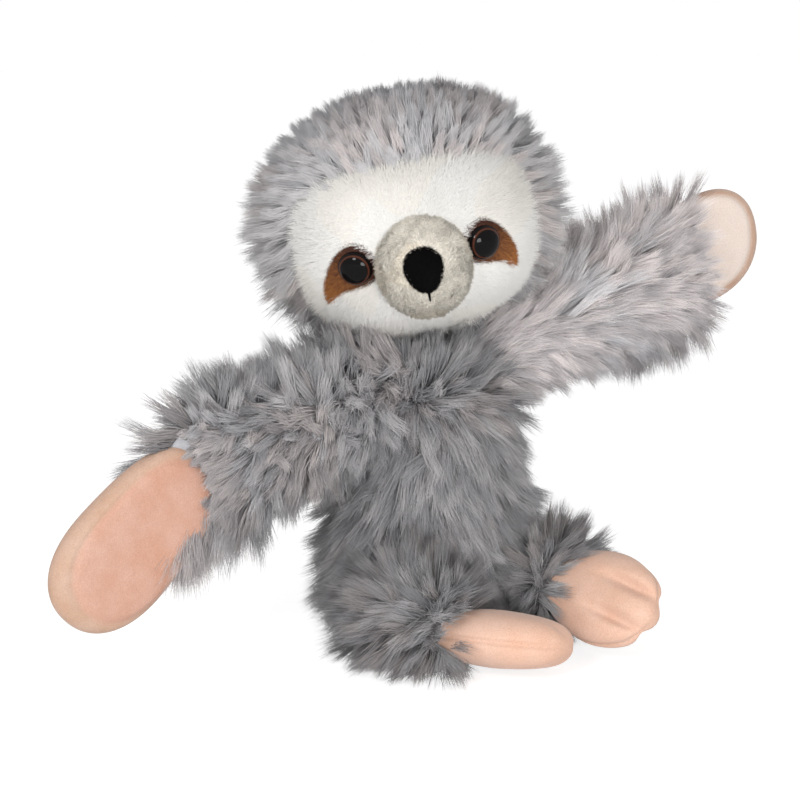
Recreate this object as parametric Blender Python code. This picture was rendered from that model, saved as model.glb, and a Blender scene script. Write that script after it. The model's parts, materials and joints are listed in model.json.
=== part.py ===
"""A plush sloth that sits with its arms held out, and hugs when they curl.

A slap band runs straight through both arms and the shoulders. Each soft part is a
fabric cover over its own stuffing. Where one part turns on the next, the outer one
has a ball at its root and the inner one a cup, so that the gap stays even.

Metres, +Z up. The origin is the middle of the flat patch that the body sits on.
The toy's front is turned towards +X and -Y. Its left arm points to +X.
"""

from math import acos, atan2, cos, pi, radians, sin, sqrt

import bmesh
import bpy
import numpy as np
from mathutils import Matrix, Vector

# Fits shared by all pieces
CLEARANCE = 0.0003
FLOOR_CUT = 0.0005
OVERRUN = 0.004
BIG = 0.4

# Body: a pear that swells low down
BODY_TURN = radians(30.6)
BODY_HEIGHT = 0.1090
BODY_HALF_WIDTH = 0.0372
BODY_HALF_DEPTH = 0.0345
BODY_COVER_WALL = 0.0045
# height, width and depth of each ring
BODY_RING_SHARES = (
    (0.005, 0.52, 0.52), (0.03, 0.74, 0.74), (0.08, 0.90, 0.91), (0.17, 0.99, 1.00),
    (0.30, 1.00, 1.00), (0.45, 0.96, 0.95), (0.60, 0.89, 0.86), (0.74, 0.82, 0.78),
    (0.85, 0.74, 0.70), (0.93, 0.60, 0.58), (0.98, 0.38, 0.38),
)

# Head: a rounded box, turned, tipped back and leaning
HEAD_CENTRE = Vector((-0.0085, -0.005, 0.152))
HEAD_YAW = radians(3)
HEAD_PITCH = radians(8)
HEAD_ROLL = radians(11)
HEAD_HALF_WIDTH = 0.0505
HEAD_HALF_DEPTH = 0.043
HEAD_HALF_HEIGHT = 0.043
HEAD_SQUARENESS_SHARE = 2.2
HEAD_COVER_WALL = 0.0046

# Face: a short-pile panel set into the cover, lower than the long pile around it
FACE_RECESS = 0.003
FACE_HALF_WIDTH = 0.039
FACE_MIDDLE_DROP = 0.012
FACE_TOP_RISE = 0.0255
FACE_CHIN_DROP = 0.030
FACE_TOP_SQUARENESS_SHARE = 4.0
FACE_CHIN_SQUARENESS_SHARE = 2.2

# Muzzle, nose and mouth
MUZZLE_DROP = 0.0195
MUZZLE_HALF_WIDTH = 0.0165
MUZZLE_HALF_HEIGHT = 0.0175
MUZZLE_REACH = 0.0185
MUZZLE_WALL = 0.0018
NOSE_HALF_WIDTH = 0.0068
NOSE_HALF_HEIGHT = 0.0076
NOSE_STAND = 0.0022
STITCH_LENGTH = 0.0042
STITCH_RADIUS = 0.0006

# Safety eyes: a dome on a stem, held by a washer behind the panel
EYE_APART = 0.0438
EYE_DROP = 0.0154
EYE_RADIUS = 0.0059
EYE_DOME_RISE = 0.0040
EYE_FLANGE = 0.0008
EYE_STEM_RADIUS = 0.0016
EYE_STEM_LENGTH = 0.0105
WASHER_RADIUS = 0.0050
WASHER_THICKNESS = 0.0014
WASHER_STANDOFF = 0.0014
PATCH_THICKNESS = 0.0009
PATCH_RING_RADIUS = 0.0081
PATCH_TAIL_RADIUS = 0.0036
PATCH_TAIL_OUT = 0.0095
PATCH_TAIL_DOWN = 0.0085

# Neck: a ball of stuffing between the body and the head
NECK_PIVOT_HEIGHT = 0.1135
NECK_BALL_RADIUS = 0.0097
NECK_GAP = 0.0030

# Arms lie in one line through the shoulders
ARM_LIFT = radians(15.4)
ARM_LINE_HEIGHT = 0.094
SHOULDER_OUT = 0.031
UPPER_ARM_LENGTH = 0.034
FOREARM_LENGTH = 0.033
SHOULDER_BALL_RADIUS = 0.0145
ELBOW_BALL_RADIUS = 0.0162
WRIST_BALL_RADIUS = 0.0092
UPPER_ARM_RADIUS = 0.0186
FOREARM_RADIUS = 0.0196
LIMB_COVER_WALL = 0.0032
CUP_RIM_SHARE = 0.5
SWING_SHARES = (0.5, 1)
BALL_END_ANGLE = radians(70)
# place between root and rim, and radius, of each ring of the barrel
UPPER_ARM_SHARES = ((0.45, 0.85), (0.75, 1.00), (1.0, 0.98))
FOREARM_SHARES = ((0.38, 0.93), (0.65, 1.00), (1.0, 0.86))
ARM_CURL = radians(45)

# Hands: a mitten of two panels sewn round its rim
HAND_LENGTH = 0.0635
HAND_HALF_WIDTH = 0.0208
HAND_HALF_THICKNESS = 0.0068
PANEL_WALL = 0.0015
PAD_FILL_GAP = 0.0006
RIGHT_HAND_DROOP = radians(28)
LEFT_HAND_DROOP = radians(0)
RIGHT_HAND_TURN = radians(0)
LEFT_HAND_TURN = radians(9)
# place along the hand, width and thickness
HAND_SHARES = (
    (0.20, 0.62, 1.16), (0.32, 0.84, 1.06), (0.48, 0.98, 1.00), (0.64, 1.00, 0.97),
    (0.78, 0.92, 0.93), (0.89, 0.74, 0.84), (0.96, 0.48, 0.66),
)

# Slap band: a bowed spring strip in a sleeve, hand to hand
BAND_HALF_LENGTH = 0.103
BAND_WIDTH = 0.015
BAND_DROP = 0.001
BAND_THICKNESS = 0.0005
BAND_BOW = 0.0008
SLEEVE_WALL = 0.0006
SLEEVE_END = 0.0015

# Legs: short, curled inwards, each a cup for its foot
HIP_HEIGHT = 0.0162
RIGHT_HIP = (-0.0245, 0.0213)
LEFT_HIP = (0.0262, 0.0175)
HIP_BALL_RADIUS = 0.0138
LEG_LENGTH = 0.0260
LEG_RADIUS = 0.0166
LEG_CURL = radians(42)
RIGHT_LEG_YAW = radians(-85)
LEFT_LEG_YAW = radians(-22)
RIGHT_LEG_PITCH = radians(0)
LEFT_LEG_PITCH = radians(17)
ANKLE_BALL_RADIUS = 0.0085
LEG_SHARES = ((0.45, 0.91), (0.72, 1.00), (1.0, 0.90))
LEG_LIFT = radians(25)

# Feet: a sole and a top with three sewn toes
FOOT_LENGTH = 0.0420
FOOT_HALF_WIDTH = 0.0160
FOOT_HALF_THICKNESS = 0.0096
TOE_REACH = 0.0030
TOE_GROOVE_SHARE = 0.34
TOE_START_SHARE = 0.62
TOE_COUNT = 3
RIGHT_FOOT_YAW = radians(-8)
LEFT_FOOT_YAW = radians(-47)
RIGHT_FOOT_PITCH = radians(-3)
LEFT_FOOT_PITCH = radians(-5)
RIGHT_FOOT_ROLL = radians(-14)
LEFT_FOOT_ROLL = radians(52)
FOOT_SHARES = (
    (0.21, 0.56, 0.93), (0.34, 0.78, 1.00), (0.50, 0.93, 1.00), (0.66, 1.00, 0.96),
    (0.80, 0.98, 0.88), (0.90, 0.86, 0.74), (0.97, 0.62, 0.52),
)

# Facets
SMOOTH_ANGLE = radians(50)
LIMB_SIDES = 16
BODY_SIDES = 22
HEAD_SIDES = 22
HEAD_RINGS = 12
HAND_SIDES = 14
FOOT_SIDES = 16
DOME_SIDES = 18
DOME_RINGS = 5
NOSE_SIDES = 14
NOSE_RINGS = 3
BALL_SIDES = 16
BALL_RINGS = 8
EYE_SIDES = 14
OUTLINE_POINTS = 40
PATCH_RING_POINTS = 15
PATCH_TAIL_POINTS = 6
BAND_STEPS = 6
ARC_STEPS = 3
CUP_STEPS = 3

FRONT = Vector((sin(BODY_TURN), -cos(BODY_TURN), 0))
LEFT = Vector((cos(BODY_TURN), sin(BODY_TURN), 0))
UP = Vector((0, 0, 1))
ARM_LINE = LEFT * cos(ARM_LIFT) + UP * sin(ARM_LIFT)
ARM_UP = FRONT.cross(ARM_LINE)
ARM_MIDDLE = UP * ARM_LINE_HEIGHT
BAND_MIDDLE = ARM_MIDDLE - ARM_UP * BAND_DROP
NECK_PIVOT = UP * NECK_PIVOT_HEIGHT

COLOURS = {
    "long_pile": ((0.34, 0.34, 0.35), 0.95),
    "white_pile": ((0.86, 0.85, 0.82), 0.9),
    "muzzle_pile": ((0.58, 0.55, 0.50), 0.9),
    "black_felt": ((0.012, 0.011, 0.011), 0.9),
    "eye_plastic": ((0.010, 0.008, 0.007), 0.08),
    "washer_plastic": ((0.75, 0.75, 0.73), 0.45),
    "brown_felt": ((0.20, 0.055, 0.02), 0.9),
    "peach_plush": ((0.83, 0.47, 0.34), 0.8),
    "stuffing": ((0.86, 0.86, 0.84), 1.0),
    "band_steel": ((0.60, 0.61, 0.62), 0.3),
    "band_fabric": ((0.20, 0.20, 0.21), 0.8),
}


# Materials and objects

def material(slot):
    """The Principled material of a slot, made on its first use."""
    found = bpy.data.materials.get(slot)
    if found:
        return found
    colour, roughness = COLOURS[slot]
    made = bpy.data.materials.new(slot)
    made.use_nodes = True
    shader = made.node_tree.nodes["Principled BSDF"]
    shader.inputs["Base Color"].default_value = (*colour, 1)
    shader.inputs["Roughness"].default_value = roughness
    shader.inputs["Metallic"].default_value = 1 if slot == "band_steel" else 0
    return made


def piece(name, slot, bm):
    """Make an object from a mesh whose faces are turned outwards."""
    bmesh.ops.recalc_face_normals(bm, faces=bm.faces)
    mesh = bpy.data.meshes.new(name)
    bm.to_mesh(mesh)
    bm.free()
    mesh.shade_smooth()
    mesh.set_sharp_from_angle(angle=SMOOTH_ANGLE)
    obj = bpy.data.objects.new(name, mesh)
    bpy.context.scene.collection.objects.link(obj)
    obj.data.materials.append(material(slot))
    return obj


def joined(target, tool, operation):
    """Apply one Boolean to target and throw the tool away."""
    step = target.modifiers.new(operation.title(), "BOOLEAN")
    step.operation = operation
    step.solver = "EXACT"
    step.object = tool
    graph = bpy.context.evaluated_depsgraph_get()
    result = bpy.data.meshes.new_from_object(target.evaluated_get(graph))
    target.modifiers.clear()
    target.data = result
    bpy.data.objects.remove(tool)
    return target


def cut(target, *tools):
    for tool in tools:
        joined(target, tool, "DIFFERENCE")
    return target


def kept_inside(target, tool):
    return joined(target, tool, "INTERSECT")


def pivoted(obj, point):
    """Put the object's origin on a joint without moving its shape."""
    obj.data.transform(Matrix.Translation(-point))
    obj.location = point
    return obj


def swung(tool, point, axis, angle):
    """Turn a tool about a joint's axis."""
    turn = Matrix.Rotation(angle, 4, axis)
    tool.data.transform(Matrix.Translation(point) @ turn @ Matrix.Translation(-point))
    return tool


# Frames

def frame(origin, x_axis, y_axis, z_axis):
    turned = Matrix((x_axis, y_axis, z_axis)).transposed().to_4x4()
    return Matrix.Translation(origin) @ turned


def along(origin, direction, side):
    """Local z runs along a direction, and local x stays near a side direction."""
    z_axis = direction.normalized()
    x_axis = (side - z_axis * side.dot(z_axis)).normalized()
    return frame(origin, x_axis, z_axis.cross(x_axis), z_axis)


def heading(yaw, pitch):
    return Vector((cos(pitch) * cos(yaw), cos(pitch) * sin(yaw), sin(pitch)))


def head_frame():
    """Local x is the toy's left, -y the way it looks, z the crown."""
    look = heading(HEAD_YAW - pi / 2, HEAD_PITCH)
    level = Vector((cos(HEAD_YAW), sin(HEAD_YAW), 0))
    crown = look.cross(level)
    side = level * cos(HEAD_ROLL) + crown * sin(HEAD_ROLL)
    crown = crown * cos(HEAD_ROLL) - level * sin(HEAD_ROLL)
    return frame(HEAD_CENTRE, side, -look, crown)


# Shapes

def ring_mesh(rings, start, end, placed):
    """Quads between closed rings, and a fan of triangles to the point at each end."""
    bm = bmesh.new()
    rows = [[bm.verts.new(placed @ Vector(point)) for point in ring] for ring in rings]
    first = bm.verts.new(placed @ Vector(start))
    last = bm.verts.new(placed @ Vector(end))
    count = len(rows[0])
    for index in range(count):
        after = (index + 1) % count
        bm.faces.new((first, rows[0][after], rows[0][index]))
        bm.faces.new((last, rows[-1][index], rows[-1][after]))
        for low, high in zip(rows, rows[1:]):
            bm.faces.new((low[index], low[after], high[after], high[index]))
    return bm


def circle_angles(sides):
    return np.arange(sides) * 2 * pi / sides


def turned(profile, sides, placed, bend=None):
    """A profile of (height, radius) turned about local z, from pole to pole."""
    angles = circle_angles(sides)
    rings = []
    for height, radius in profile[1:-1]:
        points = np.stack((radius * np.cos(angles), radius * np.sin(angles),
                           np.full(sides, height)), axis=1)
        rings.append(points if bend is None else bend(points))
    poles = [np.array(((0, 0, profile[end][0]),), dtype=float) for end in (0, -1)]
    if bend is not None:
        poles = [bend(pole) for pole in poles]
    return ring_mesh(rings, poles[0][0], poles[1][0], placed)


def clear_radius(radius, sides, step):
    """The radius at which a faceted sphere or cup lies wholly outside the true one."""
    return radius / (cos(pi / sides) * cos(step / 2))


def ball(radius, centre, sides=BALL_SIDES, rings=BALL_RINGS):
    angles = np.linspace(pi, 0, rings)
    profile = [(radius * cos(angle), radius * sin(angle)) for angle in angles]
    return piece("ball_tool", "stuffing", turned(profile, sides, Matrix.Translation(centre)))


def socket_tool(radius, centre, finer=1):
    """A ball that cuts a socket with room for a ball of this radius."""
    sides, rings = BALL_SIDES * finer, BALL_RINGS * finer
    room = clear_radius(radius + CLEARANCE / finer, sides, pi / (rings - 1))
    return ball(room, centre, sides, rings)


def block(low, high, placed=Matrix.Identity(4)):
    """A box between two corners, as a cutting tool."""
    bm = bmesh.new()
    bmesh.ops.create_cube(bm, size=1)
    size = Vector(high) - Vector(low)
    middle = (Vector(high) + Vector(low)) / 2
    bmesh.ops.transform(bm, verts=bm.verts,
                        matrix=placed @ Matrix.Translation(middle) @ Matrix.Diagonal((*size, 1)))
    return piece("block_tool", "stuffing", bm)


def below_floor():
    return block((-BIG, -BIG, -BIG), (BIG, BIG, 0))


def prism(outline, near, far, placed):
    """An outline of (x, z) points carried along local y from near to far."""
    bm = bmesh.new()
    bottom = [bm.verts.new(placed @ Vector((x, near, z))) for x, z in outline]
    top = [bm.verts.new(placed @ Vector((x, far, z))) for x, z in outline]
    bm.faces.new(bottom)
    bm.faces.new(top[::-1])
    for index in range(len(outline)):
        after = (index + 1) % len(outline)
        bm.faces.new((bottom[index], top[index], top[after], bottom[after]))
    return piece("prism_tool", "stuffing", bm)


# Limbs

def barrel(shares, length, radius, start, inset):
    """Heights and radii of the rings between a ball and the rim of the next cup."""
    return [(start + (length - start) * place, radius * size - inset) for place, size in shares]


def limb_rings(ball_radius, shares, length, radius, next_ball, inset):
    """The outside of a limb from the pole of its ball to the rim of its cup."""
    root = ball_radius - inset
    rim = length - next_ball * CUP_RIM_SHARE
    arc = [(root * cos(angle), root * sin(angle))
           for angle in np.linspace(pi, BALL_END_ANGLE, ARC_STEPS + 2)]
    start = ball_radius * cos(BALL_END_ANGLE)
    return arc + barrel(shares, rim, radius, start, inset)


def cup_rings(length, cup_radius, edge_height, edge_radius):
    """A spherical cup about the next joint, from its edge in to its pole."""
    first = atan2(edge_radius, edge_height - length)
    arc = np.linspace(first, pi, CUP_STEPS + 1)
    return [(length + cup_radius * cos(angle), cup_radius * sin(angle)) for angle in arc]


def limb_cover(name, sizes, placed, bend=None):
    """A fabric tube: a closed ball at the root, open where the next part enters."""
    outside = limb_rings(*sizes, 0)
    inside = limb_rings(*sizes, LIMB_COVER_WALL)
    profile = outside + inside[::-1]
    return piece(name, "long_pile", turned(profile, LIMB_SIDES, placed, bend))


def limb_stuffing(name, sizes, placed, bend=None):
    """What fills a cover, with a cup that holds the next part's ball."""
    length, next_ball = sizes[2], sizes[4]
    rings = limb_rings(*sizes, LIMB_COVER_WALL + CLEARANCE)
    cup = clear_radius(next_ball + CLEARANCE, LIMB_SIDES, pi / 2 / CUP_STEPS)
    rim_height, rim_radius = rings[-1]
    mouth = sqrt(cup**2 - (length - rim_height)**2)
    if rim_radius <= mouth:
        rim_height = length - sqrt(cup**2 - rim_radius**2)
        rings = [ring for ring in rings if ring[0] < rim_height - CLEARANCE]
        mouth = rim_radius
    profile = rings + cup_rings(length, cup, rim_height, mouth)
    return piece(name, "stuffing", turned(profile, LIMB_SIDES, placed, bend))


def curled(points):
    """Bend a leg towards local x at an even rate, but leave its ball and cup straight."""
    bent = LEG_LENGTH - ANKLE_BALL_RADIUS
    radius = bent / LEG_CURL
    x, y, z = points.T
    angle = np.clip(z, 0, bent) / radius
    before = np.clip(z, None, 0)
    past = np.clip(z - bent, 0, None)
    return np.stack((radius - (radius - x) * np.cos(angle) + past * np.sin(angle), y,
                     (radius - x) * np.sin(angle) + past * np.cos(angle) + before), axis=1)


# Hands and feet

def pad_rings(shares, length, half_width, half_thickness, root, inset, toes):
    """Rings of a sewn pad: flat ovals along local z, with a ball at the root.

    Toes push the front edge out in lobes and press a groove between them.
    """
    sides = FOOT_SIDES if toes else HAND_SIDES
    angles = circle_angles(sides)
    across = np.cos(angles)
    rings = []
    for angle in np.linspace(pi, BALL_END_ANGLE, ARC_STEPS + 1)[1:]:
        reach = (root - inset) * sin(angle)
        rings.append(np.stack((reach * across, reach * np.sin(angles),
                               np.full(sides, (root - inset) * cos(angle))), axis=1))
    for place, wide, thick in shares:
        grow = max(0, (place - TOE_START_SHARE) / (1 - TOE_START_SHARE)) if toes else 0
        lobe = 0.5 + 0.5 * np.cos(TOE_COUNT * pi * across)
        lobe = 1 - lobe if TOE_COUNT % 2 else lobe
        groove = 1 - TOE_GROOVE_SHARE * grow * lobe * (1 - across**4)
        depth = half_thickness * thick - inset
        rings.append(np.stack(((half_width * wide - inset) * across,
                               depth * np.sin(angles) * groove,
                               (length - inset) * place + TOE_REACH * grow * (1 - lobe)), axis=1))
    return rings


def pad(name, slot, sizes, placed, inset=0, toes=False):
    rings = pad_rings(*sizes, inset, toes)
    root, length = sizes[4], sizes[1]
    start = (0, 0, inset - root)
    end = (0, 0, length - inset + (TOE_REACH if toes else 0))
    return piece(name, slot, ring_mesh(rings, start, end, placed))


def sewn_pad(names, sizes, placed, toes=False, channel=None):
    """Two panels that meet in a seam on the flat of the pad, and the stuffing inside."""
    front_name, back_name, core_name = names
    half_gap = CLEARANCE / 2
    made = []
    for name, side in ((front_name, 1), (back_name, -1)):
        shell = pad(name, "peach_plush", sizes, placed, toes=toes)
        cut(shell, pad("core_tool", "stuffing", sizes, placed, PANEL_WALL, toes))
        if side > 0:
            away = block((-BIG, -BIG, -BIG), (BIG, half_gap, BIG), placed)
        else:
            away = block((-BIG, -half_gap, -BIG), (BIG, BIG, BIG), placed)
        cut(shell, away)
        made.append(shell)
    core = pad(core_name, "stuffing", sizes, placed, PANEL_WALL + PAD_FILL_GAP, toes)
    made.append(core)
    if channel:
        for solid in made:
            cut(solid, channel())
    return made


# Head

def head_rings(inset):
    """Points of a rounded box: each direction from the centre meets it once."""
    power = HEAD_SQUARENESS_SHARE
    halves = np.array((HEAD_HALF_WIDTH, HEAD_HALF_DEPTH, HEAD_HALF_HEIGHT)) - inset
    turns = circle_angles(HEAD_SIDES)
    rings = []
    for tilt in np.linspace(pi, 0, HEAD_RINGS)[1:-1]:
        way = np.stack((sin(tilt) * np.cos(turns), sin(tilt) * np.sin(turns),
                        np.full(HEAD_SIDES, cos(tilt))), axis=1)
        reach = (np.abs(way / halves)**power).sum(axis=1)**(-1 / power)
        rings.append(way * reach[:, None])
    return rings, halves[2]


def head_form(name, slot, inset, placed):
    rings, top = head_rings(inset)
    return piece(name, slot, ring_mesh(rings, (0, 0, -top), (0, 0, top), placed))


def below_head():
    """The room left over the body, so that the head can nod."""
    level = BODY_HEIGHT + NECK_GAP
    return block((-BIG, -BIG, -BIG), (BIG, BIG, level))


def face_depth(x, z, inset):
    """How far forward of the head's centre a surface at this inset lies."""
    halves = (HEAD_HALF_WIDTH - inset, HEAD_HALF_DEPTH - inset, HEAD_HALF_HEIGHT - inset)
    power = HEAD_SQUARENESS_SHARE
    left = 1 - (abs(x) / halves[0])**power - (abs(z) / halves[2])**power
    return halves[1] * left**(1 / power)


def face_outline(shrink):
    """The panel's edge: nearly straight across the brow, round at the chin."""
    points = []
    for angle in circle_angles(OUTLINE_POINTS):
        up = sin(angle) > 0
        power = 2 / (FACE_TOP_SQUARENESS_SHARE if up else FACE_CHIN_SQUARENESS_SHARE)
        tall = (FACE_TOP_RISE if up else FACE_CHIN_DROP) - shrink
        x = (FACE_HALF_WIDTH - shrink) * np.sign(cos(angle)) * abs(cos(angle))**power
        z = tall * np.sign(sin(angle)) * abs(sin(angle))**power - FACE_MIDDLE_DROP
        points.append((x, z))
    return points


def dome(name, slot, half_width, half_height, reach, placed, sides=DOME_SIDES, steps=DOME_RINGS):
    """An ellipsoid that bulges towards local -y from its middle."""
    angles = circle_angles(sides)
    rings = []
    for tilt in np.linspace(0, pi, 2 * steps + 1)[1:-1]:
        rings.append(np.stack((half_width * sin(tilt) * np.cos(angles),
                               np.full(sides, -reach * cos(tilt)),
                               half_height * sin(tilt) * np.sin(angles)), axis=1))
    return piece(name, slot, ring_mesh(rings, (0, -reach, 0), (0, reach, 0), placed))


def muzzle_form(name, slot, grow, placed):
    base = face_depth(0, MUZZLE_DROP, FACE_RECESS)
    at = placed @ Matrix.Translation((0, -base, -MUZZLE_DROP))
    return dome(name, slot, MUZZLE_HALF_WIDTH + grow, MUZZLE_HALF_HEIGHT + grow,
                MUZZLE_REACH + grow, at)


def muzzle_pieces(placed):
    over_face = FACE_RECESS - CLEARANCE
    cover = muzzle_form("muzzle_cover", "muzzle_pile", 0, placed)
    cut(cover, muzzle_form("inside_tool", "stuffing", -MUZZLE_WALL, placed),
        head_form("head_tool", "stuffing", over_face, placed))
    filling = muzzle_form("muzzle_stuffing", "stuffing", -MUZZLE_WALL - CLEARANCE, placed)
    cut(filling, head_form("head_tool", "stuffing", over_face, placed))
    tip = face_depth(0, MUZZLE_DROP, FACE_RECESS) + MUZZLE_REACH
    at = placed @ Matrix.Translation((0, -tip, -MUZZLE_DROP))
    nose = dome("nose", "black_felt", NOSE_HALF_WIDTH, NOSE_HALF_HEIGHT, NOSE_STAND, at,
                NOSE_SIDES, NOSE_RINGS)
    cut(nose, muzzle_form("muzzle_tool", "stuffing", CLEARANCE, placed))
    low = (-STITCH_RADIUS, -NOSE_STAND / 2, -NOSE_HALF_HEIGHT - STITCH_LENGTH)
    high = (STITCH_RADIUS, MUZZLE_REACH / 2, -NOSE_HALF_HEIGHT - CLEARANCE)
    stitch = block(low, high, at)
    stitch.name = stitch.data.name = "mouth_stitch"
    stitch.data.materials[0] = material("black_felt")
    kept_inside(stitch, muzzle_form("thread_tool", "stuffing", STITCH_RADIUS * 2, placed))
    cut(stitch, muzzle_form("muzzle_tool", "stuffing", CLEARANCE, placed))
    return [cover, filling, nose, stitch]


def eye_frame(side, placed):
    """Local z points out of the face at an eye, along the panel's own normal."""
    x, z = side * EYE_APART / 2, -EYE_DROP
    step = EYE_RADIUS / 2
    here = Vector((x, -face_depth(x, z, FACE_RECESS), z))
    across = Vector((x + step, -face_depth(x + step, z, FACE_RECESS), z)) - here
    above = Vector((x, -face_depth(x, z + step, FACE_RECESS), z + step)) - here
    out = across.cross(above)
    return placed @ along(here, out, Vector((1, 0, 0)))


def eye_profile(gap):
    """Heights and radii of an eye: dome, flange and stem, from top to stem's end."""
    base = CLEARANCE + EYE_FLANGE
    arc = [(base + (EYE_DOME_RISE - EYE_FLANGE + gap) * cos(angle), (EYE_RADIUS + gap) * sin(angle))
           for angle in np.linspace(0, pi / 2, ARC_STEPS + 1)]
    return arc + [(CLEARANCE - gap, EYE_RADIUS + gap), (CLEARANCE - gap, EYE_STEM_RADIUS + gap),
                  (-EYE_STEM_LENGTH - gap, EYE_STEM_RADIUS + gap), (-EYE_STEM_LENGTH - gap, 0)]


def washer_section():
    """Heights and radii of the washer, which lies flat behind the curved panel."""
    top = FACE_RECESS - HEAD_COVER_WALL - WASHER_STANDOFF
    hole = EYE_STEM_RADIUS + CLEARANCE
    bottom = top - WASHER_THICKNESS
    return [(top, hole), (top, WASHER_RADIUS), (bottom, WASHER_RADIUS), (bottom, hole)]


def stem_bore():
    hole = EYE_STEM_RADIUS + CLEARANCE
    deep = -EYE_STEM_LENGTH - CLEARANCE
    return [(OVERRUN, 0), (OVERRUN, hole), (deep, hole), (deep, 0)]


def eye_well():
    """The room in the stuffing for a washer and the stem below it."""
    wide = WASHER_RADIUS + CLEARANCE
    floor = washer_section()[2][0] - CLEARANCE
    bore = stem_bore()
    return [(OVERRUN, 0), (OVERRUN, wide), (floor, wide), (floor, bore[1][1])] + bore[2:]


def ring_solid(name, slot, section, placed):
    """A closed section of (height, radius) points carried once round local z."""
    angles = circle_angles(EYE_SIDES)
    bm = bmesh.new()
    loops = []
    for angle in angles:
        loops.append([bm.verts.new(placed @ Vector((radius * cos(angle), radius * sin(angle), height)))
                      for height, radius in section])
    for index, loop in enumerate(loops):
        after = loops[(index + 1) % len(loops)]
        for corner in range(len(section)):
            turn = (corner + 1) % len(section)
            bm.faces.new((loop[corner], loop[turn], after[turn], after[corner]))
    return piece(name, slot, bm)


def patch_outline(side, grow):
    """A ring round the eye with a tail that hangs outwards, as seen from the front."""
    eye = np.array((side * EYE_APART / 2, -EYE_DROP))
    tail = eye + np.array((side * PATCH_TAIL_OUT, -PATCH_TAIL_DOWN))
    big, small = PATCH_RING_RADIUS + grow, PATCH_TAIL_RADIUS + grow
    way = tail - eye
    spread = acos((big - small) / np.hypot(*way))
    aim = atan2(way[1], way[0])
    points = []
    for angle in np.linspace(aim + spread, aim + 2 * pi - spread, PATCH_RING_POINTS):
        points.append(tuple(eye + big * np.array((cos(angle), sin(angle)))))
    for angle in np.linspace(aim - spread, aim + spread, PATCH_TAIL_POINTS):
        points.append(tuple(tail + small * np.array((cos(angle), sin(angle)))))
    return points


def eye_pieces(side, word, placed):
    at = eye_frame(side, placed)
    eye = piece(f"{word}_eye", "eye_plastic", turned(eye_profile(0), EYE_SIDES, at))
    washer = ring_solid(f"{word}_eye_washer", "washer_plastic", washer_section(), at)
    under = FACE_RECESS - CLEARANCE
    patch = head_form(f"{word}_eye_patch", "brown_felt", under - PATCH_THICKNESS, placed)
    cut(patch, head_form("face_tool", "stuffing", under, placed))
    kept_inside(patch, prism(patch_outline(side, 0), -HEAD_HALF_DEPTH - OVERRUN, 0, placed))
    reach = EYE_RADIUS + CLEARANCE
    column = [(OVERRUN, 0), (OVERRUN, reach), (-OVERRUN, reach), (-OVERRUN, 0)]
    cut(patch, piece("eye_tool", "stuffing", turned(column, EYE_SIDES, at)))
    cut(patch, muzzle_form("muzzle_tool", "stuffing", CLEARANCE, placed))
    return [eye, washer, patch]


def head_pieces():
    placed = head_frame()
    front = -HEAD_HALF_DEPTH - OVERRUN
    cover = head_form("head_cover", "long_pile", 0, placed)
    cut(cover, head_form("inside_tool", "stuffing", HEAD_COVER_WALL, placed),
        prism(face_outline(0), front, 0, placed), below_head(),
        socket_tool(NECK_BALL_RADIUS, NECK_PIVOT))
    panel = head_form("face_panel", "white_pile", FACE_RECESS, placed)
    cut(panel, head_form("inside_tool", "stuffing", HEAD_COVER_WALL, placed))
    kept_inside(panel, prism(face_outline(CLEARANCE), front, -CLEARANCE, placed))
    filling = head_form("head_stuffing", "stuffing", HEAD_COVER_WALL + CLEARANCE, placed)
    cut(filling, socket_tool(NECK_BALL_RADIUS, NECK_PIVOT), below_head())
    made = [cover, panel, filling]
    for side, word in ((1, "left"), (-1, "right")):
        at = eye_frame(side, placed)
        cut(panel, piece("bore_tool", "stuffing", turned(stem_bore(), EYE_SIDES, at)))
        cut(filling, piece("well_tool", "stuffing", turned(eye_well(), EYE_SIDES, at)))
        made += eye_pieces(side, word, placed)
    made += muzzle_pieces(placed)
    cut(panel, socket_tool(NECK_BALL_RADIUS, NECK_PIVOT), below_head())
    for solid in made:
        pivoted(solid, NECK_PIVOT)


# Body

def body_rings(inset):
    """Oval rings of the pear, drawn in by the inset on every side."""
    angles = circle_angles(BODY_SIDES)
    tall = BODY_HEIGHT + FLOOR_CUT - 2 * inset
    rings = []
    for height, wide, deep in BODY_RING_SHARES:
        rings.append(np.stack(((BODY_HALF_WIDTH - inset) * wide * np.cos(angles),
                               (BODY_HALF_DEPTH - inset) * deep * np.sin(angles),
                               np.full(BODY_SIDES, inset - FLOOR_CUT + tall * height)), axis=1))
    return rings, inset - FLOOR_CUT, inset - FLOOR_CUT + tall


def body_form(name, slot, inset):
    rings, low, high = body_rings(inset)
    placed = frame(Vector((0, 0, 0)), LEFT, -FRONT, UP)
    return piece(name, slot, ring_mesh(rings, (0, 0, low), (0, 0, high), placed))


def hip_point(place):
    return LEFT * place[0] + FRONT * place[1] + UP * HIP_HEIGHT


def socket_tools():
    """The balls of the neck, shoulders and hips, as tools that cut the body."""
    spots = [(NECK_BALL_RADIUS, NECK_PIVOT)]
    spots += [(SHOULDER_BALL_RADIUS, ARM_MIDDLE + ARM_LINE * way * SHOULDER_OUT) for way in (1, -1)]
    spots += [(HIP_BALL_RADIUS, hip_point(place)) for place in (RIGHT_HIP, LEFT_HIP)]
    return [socket_tool(radius, spot) for radius, spot in spots]


def trimmed(limb, radius, joint, axis, angle):
    """Cut from a limb what would enter the body while it swings about its socket."""
    for share in SWING_SHARES:
        form = cut(body_form("body_tool", "stuffing", -CLEARANCE), socket_tool(radius, joint, 2))
        cut(limb, swung(form, joint, axis, -angle * share))
    return limb


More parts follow.
